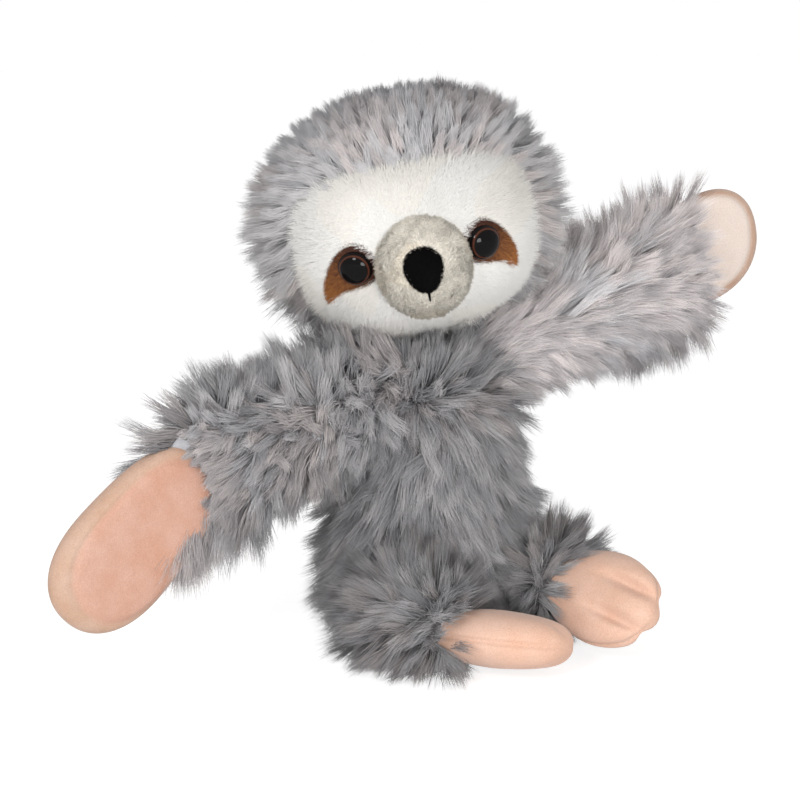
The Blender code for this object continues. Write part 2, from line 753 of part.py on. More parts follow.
def band_channel(grow):
    """The flat slot that the sleeve of the slap band lies in."""
    placed = frame(BAND_MIDDLE, ARM_LINE, -FRONT, ARM_UP)
    half_deep = BAND_BOW / 2 + BAND_THICKNESS / 2 + CLEARANCE + SLEEVE_WALL + grow
    half_wide = BAND_WIDTH / 2 + CLEARANCE + SLEEVE_WALL + grow
    half_long = BAND_HALF_LENGTH + SLEEVE_END + grow
    return block((-half_long, -half_deep, -half_wide), (half_long, half_deep, half_wide), placed)


def channel_tool():
    return band_channel(CLEARANCE)


def body_pieces():
    cover = body_form("body_cover", "long_pile", 0)
    cut(cover, body_form("inside_tool", "stuffing", BODY_COVER_WALL), *socket_tools(),
        channel_tool(), below_floor())
    filling = body_form("body_stuffing", "stuffing", BODY_COVER_WALL + CLEARANCE)
    cut(filling, *socket_tools(), channel_tool())
    neck = ball(NECK_BALL_RADIUS, NECK_PIVOT, LIMB_SIDES)
    neck.name = neck.data.name = "neck_stuffing"
    pivoted(neck, NECK_PIVOT)


def strip(name, slot, half_long, section):
    """A section of (depth, width) points carried along the line of the arms."""
    placed = frame(BAND_MIDDLE, ARM_LINE, -FRONT, ARM_UP)
    bm = bmesh.new()
    ends = [[bm.verts.new(placed @ Vector((way * half_long, depth, wide))) for depth, wide in section]
            for way in (-1, 1)]
    bm.faces.new(ends[0])
    bm.faces.new(ends[1][::-1])
    for index in range(len(section)):
        after = (index + 1) % len(section)
        bm.faces.new((ends[0][index], ends[1][index], ends[1][after], ends[0][after]))
    return piece(name, slot, bm)


def bowed_section():
    """The spring strip's section: flat steel bowed across its width."""
    points = []
    places = np.linspace(-1, 1, BAND_STEPS + 1)
    for side, run in ((1, places), (-1, places[::-1])):
        for place in run:
            bow = BAND_BOW * (0.5 - place**2)
            points.append((bow + side * BAND_THICKNESS / 2, place * BAND_WIDTH / 2))
    return points


def band_pieces():
    strip("slap_band", "band_steel", BAND_HALF_LENGTH, bowed_section())
    sleeve = band_channel(0)
    sleeve.name = sleeve.data.name = "band_sleeve"
    sleeve.data.materials[0] = material("band_fabric")
    half_deep = BAND_BOW / 2 + BAND_THICKNESS / 2 + CLEARANCE
    half_wide = BAND_WIDTH / 2 + CLEARANCE
    half_long = BAND_HALF_LENGTH + SLEEVE_END + OVERRUN
    placed = frame(BAND_MIDDLE, ARM_LINE, -FRONT, ARM_UP)
    cut(sleeve, block((-half_long, -half_deep, -half_wide), (half_long, half_deep, half_wide), placed))


# Arms and legs

def arm_pieces(way, word, droop, turn):
    """One arm; way is 1 for the toy's left arm and -1 for its right.

    The hand droops from the arm's line, and turns back from it.
    """
    out = ARM_LINE * way
    shoulder = ARM_MIDDLE + out * SHOULDER_OUT
    elbow = shoulder + out * UPPER_ARM_LENGTH
    wrist = elbow + out * FOREARM_LENGTH
    upper = (SHOULDER_BALL_RADIUS, UPPER_ARM_SHARES, UPPER_ARM_LENGTH, UPPER_ARM_RADIUS,
             ELBOW_BALL_RADIUS)
    lower = (ELBOW_BALL_RADIUS, FOREARM_SHARES, FOREARM_LENGTH, FOREARM_RADIUS,
             WRIST_BALL_RADIUS)
    for part, sizes, joint in (("upper_arm", upper, shoulder), ("forearm", lower, elbow)):
        placed = along(joint, out, FRONT)
        cover = limb_cover(f"{word}_{part}_cover", sizes, placed)
        filling = limb_stuffing(f"{word}_{part}_stuffing", sizes, placed)
        for solid in (cover, filling):
            cut(solid, channel_tool())
            if part == "upper_arm":
                trimmed(solid, SHOULDER_BALL_RADIUS, joint, -ARM_UP * way, ARM_CURL)
            pivoted(solid, joint)
    back = out * cos(turn) - FRONT * sin(turn)
    reach = back * cos(droop) - ARM_UP * sin(droop)
    hand_sizes = (HAND_SHARES, HAND_LENGTH, HAND_HALF_WIDTH, HAND_HALF_THICKNESS, WRIST_BALL_RADIUS)
    placed = along(wrist, reach, FRONT.cross(reach))
    names = (f"{word}_hand_back", f"{word}_hand_palm", f"{word}_hand_stuffing")
    if placed.to_3x3().col[1].dot(FRONT) > 0:
        names = (names[1], names[0], names[2])
    for solid in sewn_pad(names, hand_sizes, placed, channel=channel_tool):
        pivoted(solid, wrist)


def leg_pieces(place, word, yaw, pitch, curl_side, foot_yaw, foot_pitch, foot_roll):
    """One leg and its foot; curl_side is 1 where it curls to the left of its heading."""
    hip = hip_point(place)
    start = heading(yaw, pitch)
    inward = UP.cross(start) * curl_side
    placed = along(hip, start, inward)
    sizes = (HIP_BALL_RADIUS, LEG_SHARES, LEG_LENGTH, LEG_RADIUS, ANKLE_BALL_RADIUS)
    cover = cut(limb_cover(f"{word}_leg_cover", sizes, placed, curled), below_floor())
    filling = limb_stuffing(f"{word}_leg_stuffing", sizes, placed, curled)
    for solid in (cover, filling):
        trimmed(solid, HIP_BALL_RADIUS, hip, -LEFT, LEG_LIFT)
    end = curled(np.array(((0, 0, LEG_LENGTH),), dtype=float))[0]
    ankle = placed @ Vector(end)
    toes = heading(foot_yaw, foot_pitch)
    level = UP.cross(toes).normalized()
    top = toes.cross(level)
    side = level * cos(foot_roll) + top * sin(foot_roll)
    foot_sizes = (FOOT_SHARES, FOOT_LENGTH, FOOT_HALF_WIDTH, FOOT_HALF_THICKNESS, ANKLE_BALL_RADIUS)
    names = (f"{word}_foot_top", f"{word}_foot_sole", f"{word}_foot_stuffing")
    foot = sewn_pad(names, foot_sizes, along(ankle, toes, side), toes=True)
    for solid in (cover, filling, *foot):
        pivoted(solid, hip)


def main():
    for old in list(bpy.data.objects):
        bpy.data.objects.remove(old)
    body_pieces()
    band_pieces()
    head_pieces()
    arm_pieces(1, "left", LEFT_HAND_DROOP, LEFT_HAND_TURN)
    arm_pieces(-1, "right", RIGHT_HAND_DROOP, RIGHT_HAND_TURN)
    leg_pieces(RIGHT_HIP, "right", RIGHT_LEG_YAW, RIGHT_LEG_PITCH, 1,
               RIGHT_FOOT_YAW, RIGHT_FOOT_PITCH, RIGHT_FOOT_ROLL)
    leg_pieces(LEFT_HIP, "left", LEFT_LEG_YAW, LEFT_LEG_PITCH, -1,
               LEFT_FOOT_YAW, LEFT_FOOT_PITCH, LEFT_FOOT_ROLL)


main()
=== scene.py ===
"""Looks of the plush sloth: long grey pile, a white face, peach hands and feet, studio stage.

The long pile is real geometry. Tufts stand on a skin, and each tuft is a sheaf of tapering
strands that lean, bend and gather together towards their tips. The skins, pads and domes are
surfaces of two numbers: turn, which runs once round from 0 to 1, and place, which runs from
one end to the other. Metres, +Z up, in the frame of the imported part.
"""

import json
from math import acos, cos, pi, radians, sin

import bmesh
import bpy
import numpy as np
from bpy.props import FloatProperty, FloatVectorProperty, IntProperty, PointerProperty
from mathutils import Matrix, Vector


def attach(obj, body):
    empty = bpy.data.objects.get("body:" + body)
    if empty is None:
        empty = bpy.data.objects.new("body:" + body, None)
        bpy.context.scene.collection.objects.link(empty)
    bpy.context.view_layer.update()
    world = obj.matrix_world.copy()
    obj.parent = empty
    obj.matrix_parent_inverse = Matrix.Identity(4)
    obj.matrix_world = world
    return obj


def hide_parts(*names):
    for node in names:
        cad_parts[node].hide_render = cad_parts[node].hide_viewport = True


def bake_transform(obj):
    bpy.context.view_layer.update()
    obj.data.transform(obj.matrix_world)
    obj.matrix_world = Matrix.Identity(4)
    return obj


bl_info = {
    "name": "Plush Sloth",
    "version": (1, 0, 0),
    "blender": (4, 5, 0),
    "location": "View3D > Sidebar > Sloth",
    "description": "Dresses a sitting plush sloth with long pile, a soft face and padded hands",
    "category": "Object",
}

UV_MAP = "OFBake"

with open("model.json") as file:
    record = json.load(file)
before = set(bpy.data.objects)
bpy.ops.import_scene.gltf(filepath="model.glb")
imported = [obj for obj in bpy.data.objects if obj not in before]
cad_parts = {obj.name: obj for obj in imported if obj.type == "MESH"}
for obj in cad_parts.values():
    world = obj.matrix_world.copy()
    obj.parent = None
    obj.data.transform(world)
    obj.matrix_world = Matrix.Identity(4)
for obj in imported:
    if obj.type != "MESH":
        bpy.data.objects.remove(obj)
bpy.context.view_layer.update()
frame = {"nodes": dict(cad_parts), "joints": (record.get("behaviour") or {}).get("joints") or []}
JOINT = {joint["name"]: joint for joint in frame["joints"]}


def joint_at(name):
    """Where a joint of the part stands."""
    return np.array(JOINT[name]["pos_m"], dtype=float)


def unit(vectors):
    """Vectors brought to length one."""
    length = np.linalg.norm(vectors, axis=-1, keepdims=True)
    return vectors / np.maximum(length, 1e-12)


# Directions and places that the frame gives
UP = np.array((0.0, 0.0, 1.0))
DOWN = -UP
SHOULDER = joint_at("left_shoulder")
ELBOW = joint_at("left_elbow")
WRIST = joint_at("left_wrist")
ARM_LINE = unit(ELBOW - SHOULDER)
ARM_MIDDLE = (joint_at("left_shoulder") + joint_at("right_shoulder")) / 2
LEFT = unit(-np.array(JOINT["left_hip"]["axis"], dtype=float))
FRONT = np.cross(LEFT, UP)
ARM_UP = np.cross(FRONT, ARM_LINE)
SHOULDER_OUT = float(np.linalg.norm(SHOULDER - ARM_MIDDLE))
ELBOW_OUT = float(np.linalg.norm(ELBOW - ARM_MIDDLE))
WRIST_OUT = float(np.linalg.norm(WRIST - ARM_MIDDLE))
NECK_PIVOT = joint_at("neck_nod")

# Which way along the arms' line each arm runs
WAY = {"left": 1, "right": -1}

# Pieces of an arm meet half way along its upper arm and its forearm
ARM_ROOT = 2 * SHOULDER_OUT - (SHOULDER_OUT + ELBOW_OUT) / 2
UPPER_MIDDLE = (SHOULDER_OUT + ELBOW_OUT) / 2
FOREARM_MIDDLE = (ELBOW_OUT + WRIST_OUT) / 2
ARM_END = 2 * WRIST_OUT - FOREARM_MIDDLE

# Head, as the part gives it
HEAD_CENTRE = np.array((-0.0085, -0.005, 0.152))
HEAD_YAW = radians(3)
HEAD_PITCH = radians(8)
HEAD_ROLL = radians(11)
HEAD_HALVES = np.array((0.0505, 0.043, 0.043))
HEAD_POWER = 2.2
HEAD_SKIN_INSET = 0.0066
FACE_RECESS = 0.003
FACE_HALF_WIDTH = 0.039
FACE_MIDDLE_DROP = 0.012
FACE_TOP_RISE = 0.0255
FACE_CHIN_DROP = 0.030
FACE_TOP_POWER = 4.0
FACE_CHIN_POWER = 2.2
FACE_THICKNESS = 0.0045
FACE_EDGE_FALL = 0.0022

# Muzzle, nose and mouth
MUZZLE_DROP = 0.0195
MUZZLE_HALF_WIDTH = 0.0156
MUZZLE_HALF_HEIGHT = 0.0168
MUZZLE_REACH = 0.0179
NOSE_HALF_WIDTH = 0.0063
NOSE_HALF_HEIGHT = 0.0074
NOSE_SHIFT = (-0.0010, 0.0, -0.0008)
NOSE_STAND = 0.0022
# No pile stands this near the middle of the muzzle, of an eye and of the nose
MUZZLE_CLEAR = 0.0125
EYE_CLEAR = 0.0062
NOSE_CLEAR = 0.0054
STITCH_LENGTH = 0.0030
STITCH_RADIUS = 0.00042

# Eyes and patches
EYE_APART = 0.0428
EYE_SHIFT = -0.0006
EYE_DROP = 0.0154
EYE_RADIUS = 0.0059
EYE_DOME_RISE = 0.0042
EYE_STEM_RADIUS = 0.0016
EYE_STEM_LENGTH = 0.0100
EYE_FLANGE = 0.0010
PATCH_RISE = 0.0009
PATCH_FALL = 0.0012
PATCH_THICKNESS = 0.0016
# Distance over which a patch changes from the colour near its eye to that of its outer end
PATCH_FADE = 0.0125
# Outwards and upwards from the eye's middle, in eye radii
PATCH_SHARES = ((-0.05, 1.26), (0.86, 0.86), (1.52, 0.02), (1.86, -0.86), (1.72, -1.72),
                (0.90, -1.22), (-0.35, -1.04), (-1.46, -0.50), (-0.86, 0.70))

# Body: height, width and depth of each ring of the skin
BODY_HEIGHT = 0.1090
BODY_HALF_WIDTH = 0.0372
BODY_HALF_DEPTH = 0.0345
BODY_SKIN_INSET = 0.0062
NECK_SKIN_INSET = 0.0375
BODY_SHARES = (
    (0.0, 0.0, 0.0), (0.03, 0.74, 0.74), (0.08, 0.90, 0.91), (0.17, 0.99, 1.00),
    (0.30, 1.00, 1.00), (0.45, 0.96, 0.95), (0.60, 0.89, 0.86), (0.74, 0.82, 0.78),
    (0.85, 0.74, 0.70), (0.93, 0.60, 0.58), (1.0, 0.0, 0.0),
)

# Arms: distance from the middle, half height and half thickness of the skin
ARM_SKIN = {
    "left": ((0.014, 0.0135, 0.0135), (0.031, 0.0145, 0.0145), (0.050, 0.0150, 0.0150),
             (0.065, 0.0154, 0.0154), (0.082, 0.0160, 0.0150), (0.098, 0.0170, 0.0125),
             (0.110, 0.0178, 0.0095), (0.120, 0.0180, 0.0082)),
    "right": ((0.014, 0.0135, 0.0135), (0.031, 0.0145, 0.0145), (0.050, 0.0152, 0.0152),
              (0.065, 0.0166, 0.0158), (0.080, 0.0190, 0.0135), (0.088, 0.0188, 0.0070),
              (0.093, 0.0165, 0.0036), (0.104, 0.0110, 0.0026)),
}

# Hands and feet: LENGTH runs from the joint to the tip, ROOT from the joint back into the cuff,
# and EGG is how much wider the far end is
HAND_LENGTH = {"left": 0.0600, "right": 0.0635}
HAND_HALF_WIDTH = 0.0205
HAND_HALF_THICKNESS = 0.0074
HAND_ROOT = {"left": 0.0105, "right": 0.0065}
HAND_DROOP = {"left": 0.0, "right": radians(28)}
HAND_TURN = {"left": radians(9), "right": 0.0}
HAND_EGG = 0.10
HAND_POWER = 2.6
PALM_SEAM = 0.875
PALM_SEAM_SWING = 0.095
PALM_SEAM_TURN = radians(50)
PALM_SEAM_WIDTH = 0.045
PALM_SEAM_DEPTH = 0.0005
PALM_BLEND = 0.07
PALM_HOLLOW = 0.0009
FOOT_LENGTH = 0.0420
FOOT_HALF_WIDTH = 0.0163
FOOT_HALF_THICKNESS = 0.0098
FOOT_ROOT = 0.0080
FOOT_EGG = 0.16
FOOT_SHIFT = {"left": (0.0, 0.0, 0.0), "right": (0.0028, 0.0, -0.0028)}
TOE_START = {"left": -0.15, "right": 0.50}
TOE_REACH = {"left": 0.0010, "right": 0.0002}
TOE_GROOVE = {"left": 0.52, "right": 0.14}
TOE_GROOVE_WIDTH = 0.125
TOE_CREASES = (-0.34, 0.34)
TOE_END = 0.85
RIM_SEAM_WIDTH = 0.10
RIM_SEAM_DEPTH = 0.0011

# Legs, as the part gives them
LEG_LENGTH = 0.0260
LEG_CURL = radians(42)
ANKLE_BALL = 0.0085
LEG_SKIN = ((-0.012, 0.0), (-0.008, 0.0085), (0.0, 0.0112), (0.010, 0.0116), (0.020, 0.0116),
            (0.026, 0.0106), (0.031, 0.0))
LEG_POSE = {
    "right": dict(yaw=radians(-85), pitch=0.0, curl=1, foot_yaw=radians(-8),
                  foot_pitch=radians(-3), foot_roll=radians(-14)),
    "left": dict(yaw=radians(-22), pitch=radians(17), curl=-1, foot_yaw=radians(-47),
                 foot_pitch=radians(-5), foot_roll=radians(52)),
}
# How the pile of a leg sweeps aside, and how it sweeps where the leg ends over the foot
LEG_SWEEP = {"left": np.array((0.10, 0.0, -0.05)), "right": np.array((-0.30, 0.0, -0.12))}
ANKLE_SWEEP = {"left": np.array((0.85, -0.28, 0.02)), "right": np.array((-0.32, -0.20, 0.06))}

# Slap band
BAND_HALF_LENGTH = 0.103
BAND_WIDTH = 0.015
BAND_DROP = 0.001
BAND_THICKNESS = 0.0005
BAND_BOW = 0.0008
SLEEVE_WALL = 0.0006
SLEEVE_END = 0.0015
SLEEVE_GAP = 0.0003

# Camera and stage
CAMERA_TARGET = Vector((-0.01065, 0, 0.0836))
CAMERA_ELEVATION = radians(12)
CAMERA_DISTANCE = 0.8
VIEW_WIDTH = 0.284
KEY_PLACE = (-0.42, -1.00, 0.60)
KEY_SIZE = 0.28
FILL_PLACE = (0.30, -1.15, 0.10)
FILL_SIZE = 0.45
FLOOR_DROP = 0.0003
FLOOR_SIDE = 6.0
FLOOR_SKIM = 0.0002
FLOOR_SHADE = 0.42
FLOOR_GLOW = 0.80

# First seed of each region's random draws
SEED = {"head": 100, "body": 200, "arm": 300, "fringe": 390, "leg": 400, "face": 500,
        "patch": 520, "muzzle": 540, "nose": 560}

# Colour of a nap that is brushed up: how much of its distance from white is left
BRUSHED = 0.86

# Near cuff: where its front is trimmed for the palm, over what distance, and by how much
TRIM_START = 0.080
TRIM_SPAN = 0.012
TRIM_SHARE = 0.62
LIT_START = 0.078
LONGER_START = 0.084
FRONT_ROOTS_END = {"left": 0.113, "right": 0.0955}
# Where the pile starts to hang under an arm, and over what distance
HANG = {"left": (0.055, 0.035), "right": (0.074, 0.018)}

# Fringe under the near cuff: its tube below and behind the arm's line, and its span along it
FRINGE_DROP = 0.0150
FRINGE_BEHIND = 0.0030
FRINGE_RADIUS = 0.0030
FRINGE_START = 0.080
FRINGE_SPAN = 0.026

# Grids
GOLDEN_TURN = (3 - 5**0.5) / 2
SURVEY = 160
NUDGE = 1e-3
TONES = 16


# Curves and forms

def smooth_curve(places, values, at):
    """Cubic Hermite pieces through the values, with slopes taken from their neighbours."""
    places, values = np.asarray(places, float), np.asarray(values, float)
    slopes = np.gradient(values, places)
    at = np.clip(at, places[0], places[-1])
    low = np.clip(np.searchsorted(places, at) - 1, 0, len(places) - 2)
    step = places[low + 1] - places[low]
    t = (at - places[low]) / step
    return (values[low] * (1 + 2 * t) * (1 - t)**2 + slopes[low] * step * t * (1 - t)**2
            + values[low + 1] * t**2 * (3 - 2 * t) + slopes[low + 1] * step * t**2 * (t - 1))


def ramp(values, start, span):
    """0 up to a start, rising to 1 over a span."""
    return np.clip((values - start) / span, 0, 1)


def eased(place):
    """Places on a half circle, so that a form closes roundly at both its ends."""
    return np.arccos(np.clip(1 - 2 * np.asarray(place, float), -1, 1)) / pi


def rounded(shares, column, even):
    """One column of a table of shares, read at even steps along a half circle."""
    table = np.array(shares)
    return smooth_curve(eased(table[:, 0]), table[:, column], even)


def placed(points, matrix):
    """Points carried by a 4x4 matrix."""
    rows = np.array(matrix)
    return points @ rows[:3, :3].T + rows[:3, 3]


def frame_matrix(origin, x_axis, y_axis, z_axis):
    """A 4x4 matrix from three axes and an origin."""
    made = np.eye(4)
    made[:3, 0], made[:3, 1], made[:3, 2], made[:3, 3] = x_axis, y_axis, z_axis, origin
    return made


def along(origin, direction, side):
    """Local z runs along a direction, and local x stays near a side direction."""
    z_axis = unit(direction)
    x_axis = unit(side - z_axis * np.dot(side, z_axis))
    return frame_matrix(origin, x_axis, np.cross(z_axis, x_axis), z_axis)


def heading(yaw, pitch):
    """A direction at a yaw from +X and a pitch above level."""
    return np.array((cos(pitch) * cos(yaw), cos(pitch) * sin(yaw), sin(pitch)))


def head_matrix():
    """Local x is the toy's left, -y the way it looks, z the crown."""
    look = heading(HEAD_YAW - pi / 2, HEAD_PITCH)
    level = np.array((cos(HEAD_YAW), sin(HEAD_YAW), 0))
    crown = np.cross(look, level)
    side = level * cos(HEAD_ROLL) + crown * sin(HEAD_ROLL)
    crown = crown * cos(HEAD_ROLL) - level * sin(HEAD_ROLL)
    return frame_matrix(HEAD_CENTRE, side, -look, crown)


HEAD = head_matrix()


def head_form(inset):
    """A rounded box: each direction from the middle meets |x/a|^p + |y/b|^p + |z/c|^p = 1."""
    halves = HEAD_HALVES - inset

    def form(turn, place):
        tilt, around = pi * (1 - place), 2 * pi * turn
        way = np.stack((np.sin(tilt) * np.cos(around), np.sin(tilt) * np.sin(around),
                        np.cos(tilt)), axis=-1)
        reach = (np.abs(way / halves)**HEAD_POWER).sum(axis=-1)**(-1 / HEAD_POWER)
        return placed(way * reach[..., None], HEAD)
    return form


def body_form(inset):
    """A pear: ovals whose width and depth follow smooth curves up the body."""
    matrix = frame_matrix((0, 0, 0), LEFT, -FRONT, UP)

    def form(turn, place):
        around = 2 * pi * turn
        wide = rounded(BODY_SHARES, 1, place) * (BODY_HALF_WIDTH - inset)
        deep = rounded(BODY_SHARES, 2, place) * (BODY_HALF_DEPTH - inset)
        high = inset + (BODY_HEIGHT - 2 * inset) * (1 - np.cos(pi * place)) / 2
        points = np.stack((wide * np.cos(around), deep * np.sin(around), high), axis=-1)
        return placed(points, matrix)
    return form


def arm_form(side, start, end):
    """A tube about the arm's line with an oval section, from one distance out to another."""
    table = np.array(ARM_SKIN[side])
    out_line = ARM_LINE * WAY[side]
    matrix = frame_matrix(ARM_MIDDLE, FRONT, np.cross(out_line, FRONT), out_line)

    def form(turn, place):
        around = 2 * pi * turn
        out = start + (end - start) * place
        tall = smooth_curve(table[:, 0], table[:, 1], out)
        deep = smooth_curve(table[:, 0], table[:, 2], out)
        points = np.stack((deep * np.cos(around), tall * np.sin(around), out), axis=-1)
        return placed(points, matrix)
    return form


def leg_path(side):
    """The frame of a leg at its hip, and the bend that carries straight points onto its curl."""
    pose = LEG_POSE[side]
    start = heading(pose["yaw"], pose["pitch"])
    inward = np.cross(UP, start) * pose["curl"]
    matrix = along(joint_at(f"{side}_hip"), start, inward)
    bent = LEG_LENGTH - ANKLE_BALL
    radius = bent / LEG_CURL

    def bend(points):
        x, y, z = points[..., 0], points[..., 1], points[..., 2]
        angle = np.clip(z, 0, bent) / radius
        past = np.clip(z - bent, 0, None)
        return np.stack((radius - (radius - x) * np.cos(angle) + past * np.sin(angle), y,
                         (radius - x) * np.sin(angle) + past * np.cos(angle)
                         + np.clip(z, None, 0)), axis=-1)
    return matrix, bend


def leg_form(side):
    """A round tube along the leg's curl, closed at both ends."""
    matrix, bend = leg_path(side)
    table = np.array(LEG_SKIN)

    def form(turn, place):
        around = 2 * pi * turn
        low, high = table[0, 0], table[-1, 0]
        out = low + (high - low) * (1 - np.cos(pi * place)) / 2
        shares = (table[:, 0] - low) / (high - low)
        wide = smooth_curve(eased(shares), table[:, 1], place)
        points = np.stack((wide * np.cos(around), wide * np.sin(around), out), axis=-1)
        return placed(bend(points), matrix)
    return form


def hand_matrix(side):
    """Local y points out of the palm, and z runs from the wrist to the tip."""
    droop = HAND_DROOP[side]
    back = ARM_LINE * WAY[side] * cos(HAND_TURN[side]) - FRONT * sin(HAND_TURN[side])
    reach = back * cos(droop) - ARM_UP * sin(droop)
    return along(joint_at(f"{side}_wrist"), reach, np.cross(FRONT, reach))


def foot_matrix(side):
    """Local z runs from the ankle to the toes."""
    pose = LEG_POSE[side]
    matrix, bend = leg_path(side)
    ankle = placed(bend(np.array((0.0, 0.0, LEG_LENGTH))), matrix)
    toes = heading(pose["foot_yaw"], pose["foot_pitch"])
    level = unit(np.cross(UP, toes))
    top = np.cross(toes, level)
    return along(ankle + FOOT_SHIFT[side], toes,
                 level * cos(pose["foot_roll"]) + top * sin(pose["foot_roll"]))


def pad_rings(turn, place):
    """Shares of a pad: 0 to 1 from its middle to its rim, and 1 to -1 from front to back."""
    return np.sin(pi * place), np.cos(pi * place), 2 * pi * turn


def palm_seam(around):
    """Where the palm is sewn in, as a share of the way to the rim, from angles round the hand."""
    return PALM_SEAM - PALM_SEAM_SWING * np.cos(around + PALM_SEAM_TURN)


def hand_form(side):
    """A mitten pad. Blunt ovals, wider at the tip, run from the palm's middle over the rim.

    The palm is nearly flat, sewn to the back along a crease inside the rim; the back is domed.
    """
    matrix = hand_matrix(side)
    half = (HAND_LENGTH[side] + HAND_ROOT[side]) / 2

    def form(turn, place):
        rim, face, around = pad_rings(turn, place)
        power = HAND_POWER - 0.35 * np.cos(around)
        blunt = (np.abs(np.cos(around))**power + np.abs(np.sin(around))**power)**(-1 / power)
        wide = HAND_HALF_WIDTH * (1 + HAND_EGG * np.cos(around))
        x = rim * blunt * wide * np.sin(around)
        z = rim * blunt * half * np.cos(around) + half - HAND_ROOT[side]
        dome = np.sqrt(np.maximum(1 - rim**2.6, 0))
        flat = np.maximum(1 - rim**6, 0)**0.5 * 0.86
        crease = np.exp(-((rim - palm_seam(around)) / PALM_SEAM_WIDTH)**2) * PALM_SEAM_DEPTH
        front = flat * HAND_HALF_THICKNESS - crease - PALM_HOLLOW * (1 - rim**2)
        y = np.where(face > 0, front, -dome * HAND_HALF_THICKNESS)
        return placed(np.stack((x, y, z), axis=-1), matrix)
    return form


def foot_form(side):
    """A fuller pad: egg ovals from the top's middle to the sole's, pinched where they are sewn.

    Its far end is blunter and swells into three toes, with creases that run back between them.
    """
    matrix = foot_matrix(side)
    half = (FOOT_LENGTH + FOOT_ROOT) / 2

    def form(turn, place):
        rim, face, around = pad_rings(turn, place)
        wide = FOOT_HALF_WIDTH * (1 + FOOT_EGG * np.cos(around)) * (1 - 0.03 * np.cos(2 * around))
        across, share = rim * np.sin(around), rim * np.cos(around)
        deep = RIM_SEAM_DEPTH / FOOT_HALF_WIDTH * (1 - 0.85 * np.abs(share)**3)
        pinch = 1 - deep * np.exp(-(face / RIM_SEAM_WIDTH)**2)
        x = pinch * wide * across
        grow = ramp(share, TOE_START[side], TOE_END - TOE_START[side])
        grow = grow * grow * (3 - 2 * grow)
        crease = sum(np.exp(-((across - at) / TOE_GROOVE_WIDTH)**2) for at in TOE_CREASES)
        lobe = 0.5 + 0.5 * np.cos(3 * pi * across)
        z = pinch * share * half + half - FOOT_ROOT + TOE_REACH[side] * grow * (lobe - 0.4)
        ahead = np.clip(share, 0, 1)
        thick = np.sign(face) * np.abs(1 - rim**(2.3 + 2.6 * ahead))**0.5 * FOOT_HALF_THICKNESS
        y = thick * (1 - TOE_GROOVE[side] * grow * crease) * (1 - 0.14 * ahead)
        return placed(np.stack((x, y, z), axis=-1), matrix)
    return form


def face_depth(x, z, inset):
    """How far forward of the head's middle its form lies at (x, z)."""
    halves = HEAD_HALVES - inset
    left = 1 - np.abs(x / halves[0])**HEAD_POWER - np.abs(z / halves[2])**HEAD_POWER
    return halves[1] * np.maximum(left, 0)**(1 / HEAD_POWER)


def face_edge(turn):
    """The panel's edge: nearly straight across the brow, round at the chin."""
    around = 2 * pi * turn
    across, rise = np.cos(around), np.sin(around)
    power = np.where(rise > 0, FACE_TOP_POWER, FACE_CHIN_POWER)
    tall = np.where(rise > 0, FACE_TOP_RISE, FACE_CHIN_DROP)
    reach = (np.abs(across / FACE_HALF_WIDTH)**power + np.abs(rise / tall)**power)**(-1 / power)
    return reach * across, reach * rise - FACE_MIDDLE_DROP


def face_share(points, grow=0.0):
    """How far out points lie on the panel, seen from the front: 0 its middle and 1 its edge."""
    local = (points - HEAD[:3, 3]) @ HEAD[:3, :3]
    x, z = local[:, 0], local[:, 2] + FACE_MIDDLE_DROP
    up = z > 0
    power = np.where(up, FACE_TOP_POWER, FACE_CHIN_POWER)
    tall = np.where(up, FACE_TOP_RISE, FACE_CHIN_DROP) + grow
    share = (np.abs(x / (FACE_HALF_WIDTH + grow))**power + np.abs(z / tall)**power)**(1 / power)
    return np.where(local[:, 1] < 0, share, 9.0)


def patch_form(outline, rise, fall):
    """A pad that lies on the face: rays from its middle to an outline of (x, z).

    Place 0 is the middle and place 1 the edge, where the pad falls back by its fall.
    """
    def form(turn, place):
        x, z = outline(turn)
        middle_x, middle_z = outline(np.linspace(0, 1, SURVEY, endpoint=False))
        middle_x, middle_z = middle_x.mean(), middle_z.mean()
        x = middle_x + (x - middle_x) * place
        z = middle_z + (z - middle_z) * place
        depth = face_depth(x, z, FACE_RECESS) + rise - fall * place**6
        return placed(np.stack((x, -depth, z), axis=-1), HEAD)
    return form


def dome_form(half_width, half_height, reach, centre, taper=0.0):
    """Half an ellipsoid on the face. Place 0 is its tip, and place 1 its widest rim."""
    def form(turn, place):
        around, tilt = 2 * pi * turn, pi / 2 * place
        narrow = 1 + taper * np.sin(around)
        points = np.stack((half_width * np.sin(tilt) * np.cos(around) * narrow,
                           -reach * np.cos(tilt),
                           half_height * np.sin(tilt) * np.sin(around)), axis=-1)
        return placed(points + centre, HEAD)
    return form


# Meshes

def new_piece(name, points, faces, material):
    """An object at the origin from corner points and a list of faces."""
    mesh = bpy.data.meshes.new(name)
    mesh.from_pydata(points.reshape(-1, 3).tolist(), [], faces)
    mesh.shade_smooth()
    return linked(name, mesh, material)


def linked(name, mesh, material):
    """A mesh as an object of the scene, at the origin, with its material."""
    mesh.materials.append(material)
    obj = bpy.data.objects.new(name, mesh)
    bpy.context.scene.collection.objects.link(obj)
    return obj


def capped_faces(rows, columns):
    """Quads between the rings of a closed grid, and a fan from each end ring to its own point.

    Corner 0 closes the first ring and corner 1 the last, and the rings' corners follow them.
    """
    column = np.arange(columns)
    after = (column + 1) % columns
    first = 2 + columns * np.arange(rows - 1)[:, None]
    quads = np.stack((first + column, first + after, first + columns + after,
                      first + columns + column), axis=-1).reshape(-1, 4)
    last = 2 + (rows - 1) * columns
    start = np.stack((after + 2, column + 2, np.zeros_like(column)), axis=-1)
    end = np.stack((column + last, after + last, np.ones_like(column)), axis=-1)
    return quads.tolist() + start.tolist() + end.tolist()


